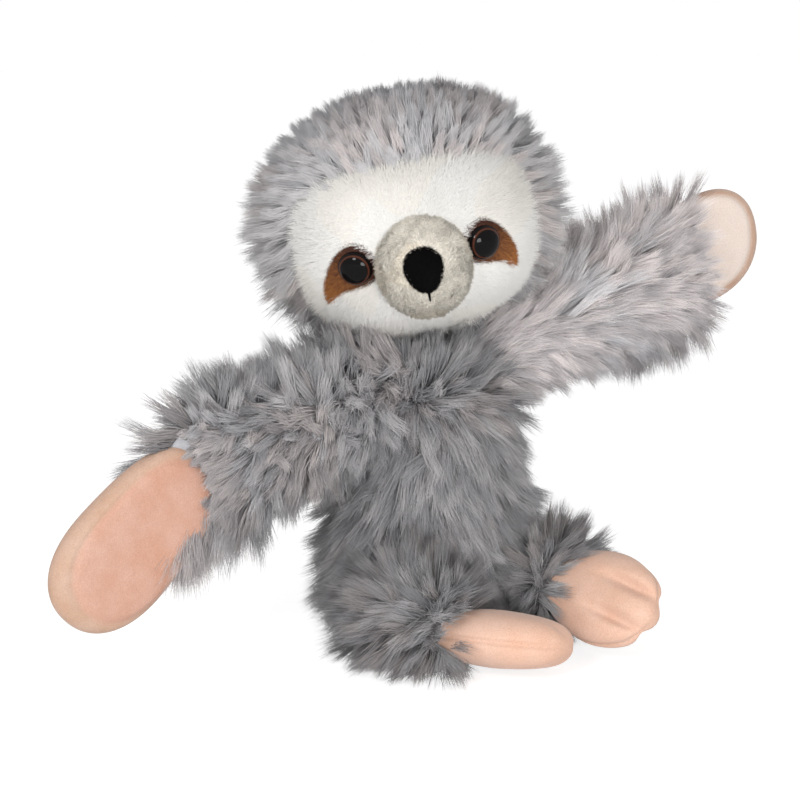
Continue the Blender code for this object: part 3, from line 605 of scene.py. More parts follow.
def skin_of(name, form, turns, steps, material, open_ends=False):
    """A closed skin of rings between a form's two ends.

    Each end is the middle of its ring: a point where the form closes, or the centre of a flat
    fan where the form is a tube with open ends.
    """
    turn, place = np.meshgrid(np.arange(turns) / turns, np.linspace(0, 1, steps + 1))
    rings = form(turn, place)
    ends = np.array([rings[0].mean(axis=0), rings[-1].mean(axis=0)])
    if not open_ends:
        rings = rings[1:-1]
    points = np.concatenate((ends, rings.reshape(-1, 3)))
    return new_piece(name, points, capped_faces(len(rings), turns), material)


def backed(name, form, back, turns, steps, material):
    """A pad on the face: its front runs from middle to edge, and its back lies behind it."""
    turn, place = np.meshgrid(np.arange(turns) / turns, np.linspace(0, 1, steps + 1)[1:])
    front = form(turn, place)
    behind = HEAD[:3, 1] * back
    rear = front[::-1] + behind
    middle = form(np.zeros(1), np.zeros(1))
    points = np.concatenate((middle, middle + behind, front.reshape(-1, 3), rear.reshape(-1, 3)))
    return outward(new_piece(name, points, capped_faces(2 * steps, turns), material))


def outward(obj):
    """Turn a closed mesh's faces outwards."""
    mesh = bmesh.new()
    mesh.from_mesh(obj.data)
    bmesh.ops.recalc_face_normals(mesh, faces=mesh.faces)
    mesh.to_mesh(obj.data)
    mesh.free()
    return obj


def turned(name, profile, matrix, turns, material):
    """A closed profile of (height, radius) turned about local z, from pole to pole."""
    around = 2 * pi * np.arange(turns) / turns
    profile = np.array(profile)
    inner = profile[1:-1]
    rings = np.stack((inner[:, 1, None] * np.cos(around), inner[:, 1, None] * np.sin(around),
                      np.repeat(inner[:, :1], turns, axis=1)), axis=-1)
    poles = np.array(((0, 0, profile[0, 0]), (0, 0, profile[-1, 0])))
    points = placed(np.concatenate((poles, rings.reshape(-1, 3))), matrix)
    return outward(new_piece(name, points, capped_faces(len(inner), turns), material))


# Pile

def even_spots(form, count, low=0.0, high=1.0):
    """Spread spots over a form, each with the same share of its area.

    The rows of a grid are filled in turn by their area, and the golden turn walks round the
    area of a spot's own row.
    """
    turns = np.arange(SURVEY + 1) / SURVEY
    places = np.linspace(low, high, SURVEY + 1)
    points = form(*np.meshgrid(turns, places))
    across = points[:-1, 1:] - points[:-1, :-1]
    up = points[1:, :-1] - points[:-1, :-1]
    area = np.linalg.norm(np.cross(across, up), axis=-1) + 1e-15
    rows = np.concatenate(((0,), np.cumsum(area.sum(axis=1))))
    index = np.arange(count)
    at = (index + 0.5) / count * rows[-1]
    row = np.clip(np.searchsorted(rows, at) - 1, 0, SURVEY - 1)
    walk = np.cumsum(area, axis=1) / area.sum(axis=1, keepdims=True)
    walk = np.concatenate((np.zeros((SURVEY, 1)), walk), axis=1) + np.arange(SURVEY)[:, None]
    turn = np.interp(row + index * GOLDEN_TURN % 1, walk.ravel(), np.tile(turns, SURVEY))
    return turn, np.interp(at, rows, places)


def area_of(form, low=0.0, high=1.0):
    """A form's area by summing the cells of a grid."""
    turn, place = np.meshgrid(np.arange(SURVEY) / SURVEY, np.linspace(low, high, SURVEY + 1))
    points = form(turn, place)
    across = np.roll(points, -1, axis=1)[:-1] - points[:-1]
    return float(np.linalg.norm(np.cross(across, points[1:] - points[:-1]), axis=-1).sum())


def axes_at(form, turn, place, facing=None):
    """Points of a form with the directions round it, along it and out of it."""
    place = np.clip(place, 2 * NUDGE, 1 - 2 * NUDGE)
    points = form(turn, place)
    round_it = unit(form(turn + NUDGE, place) - form(turn - NUDGE, place))
    along_it = unit(form(turn, place + NUDGE) - form(turn, place - NUDGE))
    out = unit(np.cross(round_it, along_it))
    away = points - points.mean(axis=0) if facing is None else np.broadcast_to(facing, out.shape)
    if (out * away).sum() < 0:
        out = -out
    return points, round_it, np.cross(out, round_it), out


def waves(points, size, seed):
    """Soft noise between -1 and 1: a few sine waves in random directions."""
    rng = np.random.default_rng(seed)
    ways = unit(rng.normal(size=(6, 3))) * (2 * pi / size) * rng.uniform(0.6, 1.5, (6, 1))
    return np.sin(points @ ways.T + rng.uniform(0, 2 * pi, 6)).mean(axis=-1) * 1.7


def sheaves(spots, way, length, spread, per, gather, frizz, rng, shortest=0.84):
    """Root and tip of the strands of each tuft, in its own direction.

    A strand's distance from its tuft's axis shrinks towards the tip, or grows where gather is
    below 0, and its own length and frizz vary.
    """
    points, side, other, _ = spots
    count = len(points)
    angle = rng.uniform(0, 2 * pi, (count, per))
    away = np.sqrt(rng.uniform(0, 1, (count, per))) * spread
    offset = (side[:, None] * (away * np.cos(angle))[..., None]
              + other[:, None] * (away * np.sin(angle))[..., None])
    long = length[:, None] * rng.uniform(shortest, 1.04, (count, per))
    loose = rng.normal(size=(count, per, 3)) * frizz
    closing = rng.uniform(gather[0], gather[1], count)[:, None, None]
    root = points[:, None] + offset
    tip = root - offset * closing + (way[:, None] + loose) * long[..., None]
    return np.stack((root, tip), axis=2).reshape(-1, 2, 3)


def strands(name, lines, out, tones, radius, soft, material):
    """Each strand is a slim three-sided pyramid from its root to its tip, above the floor."""
    lines[..., 2] = np.maximum(lines[..., 2], FLOOR_SKIM)
    lean = unit(lines[:, 1] - lines[:, 0])
    side = unit(np.cross(lean, np.roll(lean, 1, axis=1) + 0.31))
    other = np.cross(lean, side)
    angle = 2 * pi * np.arange(3) / 3
    ring = side[:, None] * np.cos(angle)[:, None] + other[:, None] * np.sin(angle)[:, None]
    corners = np.concatenate((lines[:, :1] + ring * radius, lines[:, 1:]), axis=1)
    corners[..., 2] = np.maximum(corners[..., 2], 0)
    leaning = np.concatenate((ring * (1 - soft) + out[:, None] * soft, out[:, None]), axis=1)
    return pile_mesh(name, corners, leaning, tones, material)


def pile_mesh(name, corners, leaning, tones, material):
    """One mesh of many like strands, each three sides and a root.

    leaning gives each corner's shading direction, between the strand's own and its skin's. The
    UV map holds a strand's tone in u, as one narrow column of a few, and root to tip in v.
    """
    pattern = np.array((0, 1, 3, 1, 2, 3, 2, 0, 3, 0, 2, 1))
    across = np.array((0, 1, 0.5, 1, 2, 1.5, 2, 3, 2.5, 0, 2, 1))
    up = np.array((0, 0, 1, 0, 0, 1, 0, 0, 1, 0, 0, 0.02))
    count, each = corners.shape[:2]
    loops = (pattern[None] + each * np.arange(count)[:, None]).ravel().astype(np.int32)
    totals = np.full(4 * count, 3, np.int32)
    mesh = bpy.data.meshes.new(name)
    mesh.vertices.add(each * count)
    mesh.vertices.foreach_set("co", corners.astype(np.float32).ravel())
    mesh.loops.add(len(loops))
    mesh.loops.foreach_set("vertex_index", loops)
    mesh.polygons.add(len(totals))
    mesh.polygons.foreach_set("loop_start", (np.cumsum(totals) - totals).astype(np.int32))
    mesh.polygons.foreach_set("loop_total", totals)
    mesh.update(calc_edges=True)
    uv = np.empty((count, len(pattern), 2), np.float32)
    uv[..., 0] = (tones[:, None] + 0.14 + 0.24 * across) / (2 * TONES)
    uv[..., 1] = 0.02 + 0.96 * up
    layer = mesh.uv_layers.new(name=UV_MAP)
    layer.data.foreach_set("uv", uv.ravel())
    mesh.shade_smooth()
    mesh.normals_split_custom_set_from_vertices(unit(leaning).reshape(-1, 3))
    return linked(name, mesh, material)


def tones_of(spots, per, shade, warm, mottle, seed):
    """A tone column for each strand: lighter or darker by tuft and strand and by painted light and
    shade for its place, cool or warm.
    """
    rng = np.random.default_rng(seed)
    points = spots[0]
    count = len(points)
    light = 0.5 + mottle * rng.normal(size=count) + 0.18 * waves(points, 0.022, seed)
    light += shade(spots) if callable(shade) else shade
    light = light[:, None] + mottle * 0.8 * rng.normal(size=(count, per))
    tone = np.clip(np.round(light * (TONES - 1)), 0, TONES - 1)
    leaning = warm + 0.35 * waves(points, 0.045, seed + 1) + 0.12 * rng.normal(size=count)
    return (tone + TONES * (leaning > 0.5)[:, None]).ravel()


def long_pile(name, form, material, ways, length, seed, low=0.0, high=1.0, keep=None, shade=0.0,
              warm=0.5, density=1.0, wild=1.0, mottle=0.27, gather=(0.1, 0.8), uneven=0.20,
              lit=None):
    """Tufts of long pile over a form; ways gives the direction of each, before it strays.

    uneven is how much tufts differ in length, and lit gives the direction they are shaded by
    where it isn't the skin's own.
    """
    fur = bpy.context.scene.sloth_fur
    rng = np.random.default_rng(seed)
    count = int(area_of(form, low, high) * fur.tufts_per_square_cm * 1e4 * density)
    turn, place = even_spots(form, count, low, high)
    turn = turn + rng.normal(size=count) * 0.004
    spots = axes_at(form, turn, place)
    if keep is not None:
        kept = keep(spots)
        spots = tuple(part[kept] for part in spots)
    count = len(spots[0])
    stray = rng.normal(size=(count, 3)) * fur.wildness
    swirl = np.stack([waves(spots[0], 0.03, seed + 10 + axis) for axis in range(3)], axis=-1)
    way = unit(unit(ways(spots)) + (stray + swirl * 0.26) * wild)
    long = length(spots) if callable(length) else length
    long = long * (0.96 + uneven * rng.uniform(-1, 1, count))
    long = long * (1 + 0.10 * waves(spots[0], 0.02, seed + 3))
    per = fur.tuft_strands
    lines = sheaves(spots, way, long, fur.tuft_radius, per, gather, 0.08, rng)
    tones = tones_of(spots, per, shade, warm, mottle, seed + 5)
    out = np.repeat(spots[3] if lit is None else unit(lit(spots)), per, axis=0)
    return strands(name, lines, out, tones, fur.strand_radius, 0.4, material)


def short_pile(name, form, material, ways, length, per_mm2, radius, seed, keep=None,
               light=0.5, blotch=0.2, grain=0.16, wild=0.22, per=1, spread=0.0):
    """Short strands, single or a few to a tuft.

    light is their tone before blotches and grain, or a function of places that gives it. Pile
    without blotches has no warm strands either.
    """
    rng = np.random.default_rng(seed)
    count = int(area_of(form) * 1e6 * per_mm2)
    turn, place = even_spots(form, count)
    spots = axes_at(form, turn + rng.normal(size=count) * 0.003, place, -HEAD[:3, 1])
    if keep is not None:
        kept = keep(spots)
        spots = tuple(part[kept] for part in spots)
    points, count = spots[0], len(spots[0])
    way = unit(unit(ways(spots)) + rng.normal(size=(count, 3)) * wild)
    long = length(spots) if callable(length) else length
    long = long * rng.uniform(0.75, 1.15, count)
    lines = sheaves(spots, way, long, spread, per, (0.3, 0.9), 0.05, rng)
    tone = (light(points) if callable(light) else light) + blotch * waves(points, 0.009, seed)
    tone = tone + grain * rng.normal(size=count)
    warm = (waves(points, 0.03, seed + 1) > 0.1) & (blotch > 0)
    tones = np.repeat(np.clip(np.round(tone * (TONES - 1)), 0, TONES - 1) + TONES * warm, per)
    out = np.repeat(spots[3], per, axis=0)
    return strands(name, lines, out, tones, radius, 0.75, material)


# Materials

def node_group(name, inputs, outputs):
    """A shader node group with named sockets, and its input and output nodes."""
    group = bpy.data.node_groups.new(name, "ShaderNodeTree")
    for label, kind, value in inputs:
        socket = group.interface.new_socket(label, in_out="INPUT", socket_type=f"NodeSocket{kind}")
        socket.default_value = value
    for label, kind in outputs:
        group.interface.new_socket(label, in_out="OUTPUT", socket_type=f"NodeSocket{kind}")
    return group, group.nodes.new("NodeGroupInput"), group.nodes.new("NodeGroupOutput")


def math_node(tree, operation, first, second=None):
    """One sum of one or two numbers or sockets."""
    node = tree.nodes.new("ShaderNodeMath")
    node.operation = operation
    for socket, value in zip(node.inputs, (first, second)):
        if isinstance(value, bpy.types.NodeSocket):
            tree.links.new(value, socket)
        elif value is not None:
            socket.default_value = value
    return node.outputs[0]


def mix_colours(tree, share, first, second, blend="MIX"):
    """Two colours mixed by a share, each a value or a socket."""
    node = tree.nodes.new("ShaderNodeMix")
    node.data_type = "RGBA"
    node.blend_type = blend
    for index, value in ((0, share), (6, first), (7, second)):
        socket = node.inputs[index]
        if isinstance(value, bpy.types.NodeSocket):
            tree.links.new(value, socket)
        else:
            socket.default_value = value
    return node.outputs[2]


def dimmed(tree, colour, share):
    """A colour times a share, both from other nodes."""
    node = tree.nodes.new("ShaderNodeVectorMath")
    node.operation = "SCALE"
    tree.links.new(colour, node.inputs[0])
    tree.links.new(share, node.inputs["Scale"])
    return node.outputs[0]


def pile_group():
    """Colour of a strand: its tone column, cool or warm, shaded from root to tip."""
    found = bpy.data.node_groups.get("Pile colour")
    if found:
        return found
    group, given, made = node_group(
        "Pile colour",
        (("Dark", "Color", (0.2, 0.2, 0.2, 1)), ("Light", "Color", (0.6, 0.6, 0.6, 1)),
         ("Warm", "Color", (1, 1, 1, 1)), ("Root", "Float", 0.4)),
        (("Color", "Color"),))
    uv = group.nodes.new("ShaderNodeUVMap")
    uv.uv_map = UV_MAP
    split = group.nodes.new("ShaderNodeSeparateXYZ")
    group.links.new(uv.outputs[0], split.inputs[0])
    column = math_node(group, "MULTIPLY", split.outputs[0], 2.0)
    tone = math_node(group, "FRACT", column)
    warm = math_node(group, "GREATER_THAN", split.outputs[0], 0.5)
    colour = mix_colours(group, tone, given.outputs["Dark"], given.outputs["Light"])
    tinted = mix_colours(group, 1.0, colour, given.outputs["Warm"], "MULTIPLY")
    colour = mix_colours(group, warm, colour, tinted)
    curve = math_node(group, "POWER", split.outputs[1], 0.8)
    left = math_node(group, "SUBTRACT", 1.0, given.outputs["Root"])
    shade = math_node(group, "ADD", given.outputs["Root"],
                      math_node(group, "MULTIPLY", curve, left))
    group.links.new(dimmed(group, colour, shade), made.inputs[0])
    return group


def plush_group():
    """Short plush on a surface: blotches of nap, fine fibres and the height of both."""
    found = bpy.data.node_groups.get("Short plush")
    if found:
        return found
    group, given, made = node_group(
        "Short plush",
        (("Base", "Color", (0.8, 0.5, 0.4, 1)), ("Pale", "Color", (0.9, 0.7, 0.6, 1)),
         ("Blotch", "Float", 90.0), ("Fibre", "Float", 1600.0)),
        (("Color", "Color"), ("Height", "Float")))
    place = group.nodes.new("ShaderNodeTexCoord").outputs["Object"]

    def noise(scale, detail, rough):
        node = group.nodes.new("ShaderNodeTexNoise")
        group.links.new(place, node.inputs["Vector"])
        if isinstance(scale, bpy.types.NodeSocket):
            group.links.new(scale, node.inputs["Scale"])
        else:
            node.inputs["Scale"].default_value = scale
        node.inputs["Detail"].default_value = detail
        node.inputs["Roughness"].default_value = rough
        return node.outputs[0]

    blotch = noise(given.outputs["Blotch"], 3.0, 0.55)
    fibre = noise(given.outputs["Fibre"], 2.0, 0.6)
    share = math_node(group, "MULTIPLY_ADD", blotch, 1.6)
    share.node.inputs[2].default_value = -0.3
    share.node.use_clamp = True
    fine = math_node(group, "MULTIPLY_ADD", fibre, 0.5)
    fine.node.inputs[2].default_value = 0.75
    colour = mix_colours(group, share, given.outputs["Base"], given.outputs["Pale"])
    group.links.new(dimmed(group, colour, fine), made.inputs["Color"])
    height = math_node(group, "ADD", math_node(group, "MULTIPLY", blotch, 0.6), fibre)
    group.links.new(height, made.inputs["Height"])
    return group


def blank_material(name, roughness, **values):
    """A Principled material with plain values on its own sockets."""
    made = bpy.data.materials.new(name)
    made.use_nodes = True
    shader = made.node_tree.nodes["Principled BSDF"]
    shader.inputs["Roughness"].default_value = roughness
    for label, value in values.items():
        shader.inputs[label.replace("_", " ")].default_value = value
    return made, made.node_tree, shader


def grouped(tree, group, values):
    """A node that holds a group, with its sockets set."""
    node = tree.nodes.new("ShaderNodeGroup")
    node.node_tree = group
    for label, value in values.items():
        node.inputs[label].default_value = value
    return node


def pile_material(name, dark, light, warm, root=0.4, roughness=0.62, specular=0.35):
    """Strands coloured by their own UV map."""
    made, tree, shader = blank_material(name, roughness, Specular_IOR_Level=specular)
    node = grouped(tree, pile_group(), {"Dark": (*dark, 1), "Light": (*light, 1),
                                        "Warm": (*warm, 1), "Root": root})
    tree.links.new(node.outputs["Color"], shader.inputs["Base Color"])
    return made


def plush_material(name, base, pale, blotch, fibre, bump, sheen, roughness=0.85):
    """Short plush with a nap that catches the light."""
    made, tree, shader = blank_material(name, roughness, Sheen_Weight=sheen, Sheen_Roughness=0.45,
                                        Specular_IOR_Level=0.25)
    node = grouped(tree, plush_group(), {"Base": (*base, 1), "Pale": (*pale, 1),
                                         "Blotch": blotch, "Fibre": fibre})
    tree.links.new(node.outputs["Color"], shader.inputs["Base Color"])
    lift = tree.nodes.new("ShaderNodeBump")
    lift.inputs["Strength"].default_value = bump
    lift.inputs["Distance"].default_value = 0.0004
    tree.links.new(node.outputs["Height"], lift.inputs["Height"])
    tree.links.new(lift.outputs[0], shader.inputs["Normal"])
    return made


def scaled(colour, share):
    """The same colour, darker or lighter by a share, up to 1."""
    return tuple(min(1.0, value * share) for value in colour)


def lighter(colour):
    """The same colour where the nap is brushed up."""
    return tuple(1 - (1 - value) * BRUSHED for value in colour)


def skin_material():
    """The woven back of the pile, coloured dark as painted shade where the roots stand in it."""
    found = bpy.data.materials.get("Pile backing")
    if found:
        return found
    fur = bpy.context.scene.sloth_fur
    return plush_material("Pile backing", scaled(fur.dark, 0.6), scaled(fur.dark, 0.85), 300.0,
                          2600.0, 0.6, 0.0)


def fur_material(name, tint, root):
    """Long pile, with the settings' colours times a tint for its region. The tints paint light and
    shade: each arm's pile is a lit or shaded copy of the same colours, and the darker body and legs
    are partly painted shade.
    """
    found = bpy.data.materials.get(name)
    if found:
        return found
    fur = bpy.context.scene.sloth_fur
    return pile_material(name, scaled(fur.dark, tint), scaled(fur.light, tint), tuple(fur.warm),
                         root=root)


# Settings

def colour_of(name, description, default):
    """A colour setting."""
    return FloatVectorProperty(name=name, description=description, default=default,
                               subtype="COLOR")


def length_of(name, description, default):
    """A length setting, in metres."""
    return FloatProperty(name=name, description=description, default=default, unit="LENGTH",
                         precision=5)


def amount_of(name, description, default, **kind):
    """A plain number setting."""
    return FloatProperty(name=name, description=description, default=default, **kind)


class SlothFur(bpy.types.PropertyGroup):
    """Long grey pile."""
    tufts_per_square_cm: amount_of("Tufts", "Tufts on each square centimetre of skin", 9.5)
    tuft_strands: IntProperty(name="Strands", description="Strands in a tuft", default=58)
    tuft_radius: length_of("Tuft radius", "Radius of a tuft at its root", 0.0023)
    strand_radius: length_of("Strand radius", "Radius of a strand at its root", 0.00018)
    head_length: length_of("Head pile", "Length of the pile on the head", 0.0142)
    body_length: length_of("Body pile", "Length of the pile on the body", 0.0168)
    limb_length: length_of("Limb pile", "Length of the pile on the arms and legs", 0.0148)
    wildness: amount_of("Wildness", "How far tufts stray from the way they are combed", 0.28)
    dark: colour_of("Dark strands", "Colour of the darkest strands", (0.50, 0.50, 0.525))
    light: colour_of("Light strands", "Colour of the lightest strands", (0.93, 0.905, 0.91))
    warm: colour_of("Warm tint", "Tint of the warmer tufts", (1.0, 0.945, 0.925))


class SlothFace(bpy.types.PropertyGroup):
    """Face panel, muzzle, nose, eyes and patches."""
    white: colour_of("White pile", "Colour of the face panel", (0.97, 0.955, 0.92))
    white_length: length_of("White pile length", "Length of the pile on the face", 0.0030)
    beige: colour_of("Muzzle pile", "Colour of the muzzle", (0.78, 0.73, 0.64))
    muzzle_length: length_of("Muzzle pile length", "Length of the pile on the muzzle", 0.0016)
    black: colour_of("Nose pile", "Colour of the nose", (0.003, 0.0027, 0.0027))
    red_brown: colour_of(
        "Patch near the eye", "Colour of a patch next to its eye", (0.05, 0.012, 0.006))
    orange_brown: colour_of("Patch tail", "Colour of a patch at its outer end", (0.50, 0.19, 0.05))
    iris: colour_of("Iris", "Colour of the ring round the pupil", (0.060, 0.020, 0.012))


class SlothPads(bpy.types.PropertyGroup):
    """Hands and feet."""
    palm: colour_of("Palm", "Colour of the near hand's palm", (0.443, 0.225, 0.149))
    side: colour_of("Hand side", "Colour of a hand's side and back", (0.411, 0.244, 0.161))
    pale: colour_of("Pale palm", "Colour of the far hand's palm", (0.665, 0.548, 0.475))
    foot: colour_of("Feet", "Colour of the feet", (0.570, 0.338, 0.236))


class SlothStage(bpy.types.PropertyGroup):
    """Floor, lamps and camera."""
    floor: colour_of("Floor", "Colour of the floor", (0.90, 0.90, 0.90))
    key_power: amount_of("Key lamp", "Power of the main lamp", 6.0, unit="POWER")
    fill_power: amount_of("Fill lamp", "Power of the low lamp in front", 10.6, unit="POWER")
    sky: amount_of("Sky", "Strength of the light from all round", 0.62)


# Pieces

def skin_ride(obj, body, nodes):
    """A padded piece that stands for some nodes of the part and moves with a body."""
    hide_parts(*nodes)
    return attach(obj, body)


class SLOTH_OT_head(bpy.types.Operator):
    """Make the head's skin and its long pile, which radiates away from the face"""
    bl_idname = "sloth.head"
    bl_label = "Head"

    def execute(self, context):
        fur = context.scene.sloth_fur
        form = head_form(HEAD_SKIN_INSET)
        skin = skin_of("head_skin", form, 64, 40, skin_material())
        skin_ride(skin, "head", ("head_cover", "head_stuffing"))
        material = fur_material("Head pile", 0.74, 0.66)
        crown, back = HEAD[:3, 2], HEAD[:3, 1]
        middle = HEAD_CENTRE - crown * FACE_MIDDLE_DROP

        def ways(spots):
            points, _, _, out = spots
            away = points - middle
            flat = unit(away - back * (away @ back)[:, None])
            behind = np.clip((points - HEAD_CENTRE) @ back / 0.03, 0, 1)[:, None]
            near = np.clip((1.45 - face_share(points)) / 0.45, 0, 1)[:, None]
            sweep = flat * (1 - behind) * (1 - 0.55 * near)
            return out * (0.51 + 0.35 * near) + sweep * 0.80 + DOWN * (0.04 + behind * 0.42)

        def length(spots):
            high = (spots[0] - HEAD_CENTRE) @ crown / HEAD_HALVES[2]
            near = np.clip((1.25 - face_share(spots[0])) / 0.25, 0, 1)
            return fur.head_length * (1 - 0.48 * np.clip(high * 1.2, 0, 1)) * (1 - 0.15 * near)

        # Painted light and shade: the pile is lighter on the sides of the head and darker on its
        # crown.
        def shade(spots):
            high = np.clip((spots[0] - HEAD_CENTRE) @ crown / HEAD_HALVES[2] * 1.3, 0, 1)
            return 0.42 - 0.66 * high

        for index, (low, high) in enumerate(((0.0, 0.40), (0.40, 0.66), (0.66, 1.0))):
            pile = long_pile(f"head_pile_{index + 1}", form, material, ways, length,
                             SEED["head"] + index,
                             low, high, lambda spots: face_share(spots[0], -0.0008) > 1,
                             shade=shade, warm=0.36, wild=0.62, mottle=0.16, gather=(0.7, 1.05),
                             uneven=0.27)
            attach(pile, "head")
        return {"FINISHED"}


class SLOTH_OT_torso(bpy.types.Operator):
    """Make the body's skin and its pile, which is combed downwards"""
    bl_idname = "sloth.torso"
    bl_label = "Body"

    def execute(self, context):
        fur = context.scene.sloth_fur
        form = body_form(BODY_SKIN_INSET)
        skin = skin_of("body_skin", form, 56, 48, skin_material())
        skin_ride(skin, "torso", ("body_cover", "body_stuffing"))
        neck = skin_of("neck_skin", head_form(NECK_SKIN_INSET), 24, 14, skin_material())
        neck.data.transform(Matrix.Translation(Vector(NECK_PIVOT - HEAD_CENTRE)))
        skin_ride(neck, "neck", ("neck_stuffing",))
        # Painted shade, in part: the body's pile is a darker copy of the fur colours.
        material = fur_material("Body pile", 0.56, 0.26)

        def ways(spots):
            points, _, _, out = spots
            high = ramp(points[:, 2], 0.006, 0.030)
            neck = ramp(points[:, 2], 0.078, 0.016)
            fall = (high * (1 - 1.4 * neck))[:, None]
            return out * 0.60 + DOWN * (0.78 * fall - 0.05)

        # Painted shadow of the near arm: the body's pile is darker on the toy's right side, in
        # front.
        def shade(spots):
            aside = np.clip(-(spots[0] @ LEFT) / 0.030, 0, 1)
            return -0.30 * aside * np.clip(spots[3] @ FRONT + 0.4, 0, 1)

        for index, (low, high) in enumerate(((0.06, 0.42), (0.42, 0.68), (0.68, 0.99))):
            pile = long_pile(f"body_pile_{index + 1}", form, material, ways, fur.body_length,
                             SEED["body"] + index, low, high, shade=shade, warm=0.2, wild=0.75,
                             mottle=0.34, gather=(0.4, 1.0))
            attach(pile, "torso")
        return {"FINISHED"}


def arm_spans(side):
    """An arm's three spans: word, start, end, and the two bodies on either side of each."""
    upper, fore, hand = (f"{side}_{word}" for word in ("upper_arm", "forearm", "hand"))
    return (("shoulder", ARM_ROOT, UPPER_MIDDLE, "torso", upper),
            ("elbow", UPPER_MIDDLE, FOREARM_MIDDLE, upper, fore),
            ("cuff", FOREARM_MIDDLE, ARM_END, fore, hand))


def blend_span(obj):
    """Bake where a piece of an arm stands into its mesh."""
    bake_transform(obj)


def arm_rules(side, limb_length):
    """How the pile of an arm stands, how long and light it is, and where it is left off."""
    out_line = ARM_LINE * WAY[side]
    near = side == "right"

    def far(spots):
        """How far out each root lies."""
        return (spots[0] - ARM_MIDDLE) @ out_line

    def edge(spots):
        """How near a root is to the cuff's top edge, 1, or its bottom edge, -1."""
        high = np.clip((spots[0] - ARM_MIDDLE) @ ARM_UP / 0.014, -1, 1)
        return ramp(far(spots), TRIM_START, TRIM_SPAN) * high

    def under(spots):
        """How much a root lies under the arm where its pile hangs, 0 to 1."""
        low = ramp(far(spots), *HANG[side]) * np.clip(-(spots[3] @ ARM_UP), 0, 1)
        return np.maximum(low, -edge(spots)) if near else low

    def lit(spots):
        """The near cuff's side tufts are shaded as if they faced the light."""
        aside = ramp(far(spots), LIT_START, TRIM_SPAN) * (spots[3] @ FRONT < 0.4) * near
        return spots[3] + (out_line + UP * 0.6 + FRONT * 0.8) * 1.4 * aside[:, None]

    def shade(spots):
        """Painted light and shade: the far arm is lighter above and darker below."""
        high = spots[3] @ ARM_UP
        return 0.0 if near else 0.10 + np.where(high > 0, 0.22, 0.52) * high

    def ways(spots):
        """Outwards along the arm, and hanging where the arm's underside is long."""
        out = spots[3]
        hang = under(spots)[:, None]
        over = np.clip(out @ ARM_UP, 0, 1)[:, None] * (0.42 if near else 0.30)
        return (out * 0.69 + out_line * (0.62 - 0.45 * hang - over)
                + DOWN * (0.06 + 0.55 * hang))

    def length(spots):
        """Trimmed in front of the near cuff, and longer below, above and behind."""
        front = (spots[3] @ FRONT > 0.2) & near
        trimmed = 1 - TRIM_SHARE * front * ramp(far(spots), TRIM_START, TRIM_SPAN)
        hang = (1.05 if near else 0.42) * under(spots)
        over = 0.22 * np.clip(spots[3] @ ARM_UP, 0, 1)
        behind = ramp(far(spots), LONGER_START, TRIM_SPAN) * (spots[3] @ FRONT < 0.2)
        return limb_length * (1 + hang + over + 0.4 * behind * near) * trimmed

    def keep(spots):
        """No roots in front of the palm."""
        low = np.clip(-edge(spots), 0, 1) * near
        front = spots[3] @ FRONT >= (-0.2 if near else 0.25)
        return (far(spots) < FRONT_ROOTS_END[side] + 0.004 * low) | ~front

    return dict(ways=ways, length=length, keep=keep, shade=shade, lit=lit, mottle=0.31,
                gather=(0.4, 1.0), warm=0.45 if near else 0.75)


def fringe_pile(fur, material):
    """Longer pile that hangs from the near cuff's lower edge, behind the palm's rim.

    Its roots lie on a thin tube beside the arm's line, below it and a little behind.
    """
    out_line = ARM_LINE * WAY["right"]
    low = ARM_MIDDLE - ARM_UP * FRINGE_DROP - FRONT * FRINGE_BEHIND
    matrix = frame_matrix(low, FRONT, np.cross(out_line, FRONT), out_line)

    def form(turn, place):
        around = 2 * pi * turn
        points = np.stack((FRINGE_RADIUS * np.cos(around), FRINGE_RADIUS * np.sin(around),
                           FRINGE_START + FRINGE_SPAN * place), axis=-1)
        return placed(points, matrix)

    def ways(spots):
        return spots[3] * 0.25 + DOWN + out_line * 0.38

    def lit(spots):
        return spots[3] * 0.4 + FRONT + out_line

    # Its shade of 0.15 is painted light, lifting pile that hangs in the cuff's shade.
    return long_pile("right_cuff_fringe_pile", form, material, ways, fur.limb_length * 1.55,
                     SEED["fringe"], 0.02, 0.98, shade=0.15, warm=0.7, density=2.2, wild=0.7,
                     gather=(0.1, 0.8), lit=lit)


class SLOTH_OT_arms(bpy.types.Operator):
    """Make both arms in three spans each, one span over each joint"""
    bl_idname = "sloth.arms"
    bl_label = "Arms"

    def execute(self, context):
        fur = context.scene.sloth_fur
        # Painted light and shade: the far arm's pile is a lighter copy, and the near arm's a darker
        # copy, of the same colours.
        for index, (side, tint, root) in enumerate((("left", 1.00, 0.46), ("right", 0.68, 0.32))):
            material = fur_material(f"{side.capitalize()} arm pile", tint, root)
            rules = arm_rules(side, fur.limb_length)
            for number, (word, start, end, *bodies) in enumerate(arm_spans(side)):
                reach = ARM_SKIN[side][-1][0] if word == "cuff" else end
                form = arm_form(side, start, reach)
                skin = skin_of(f"{side}_{word}_skin", form, 40, 14, skin_material(),
                               open_ends=True)
                pile = long_pile(f"{side}_{word}_pile", form, material,
                                 seed=SEED["arm"] + 10 * index + number, **rules)
                for obj in (skin, pile):
                    blend_span(obj)
                if word != "cuff":
                    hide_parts(f"{bodies[1]}_cover", f"{bodies[1]}_stuffing")
                elif side == "right":
                    blend_span(fringe_pile(fur, material))
        return {"FINISHED"}


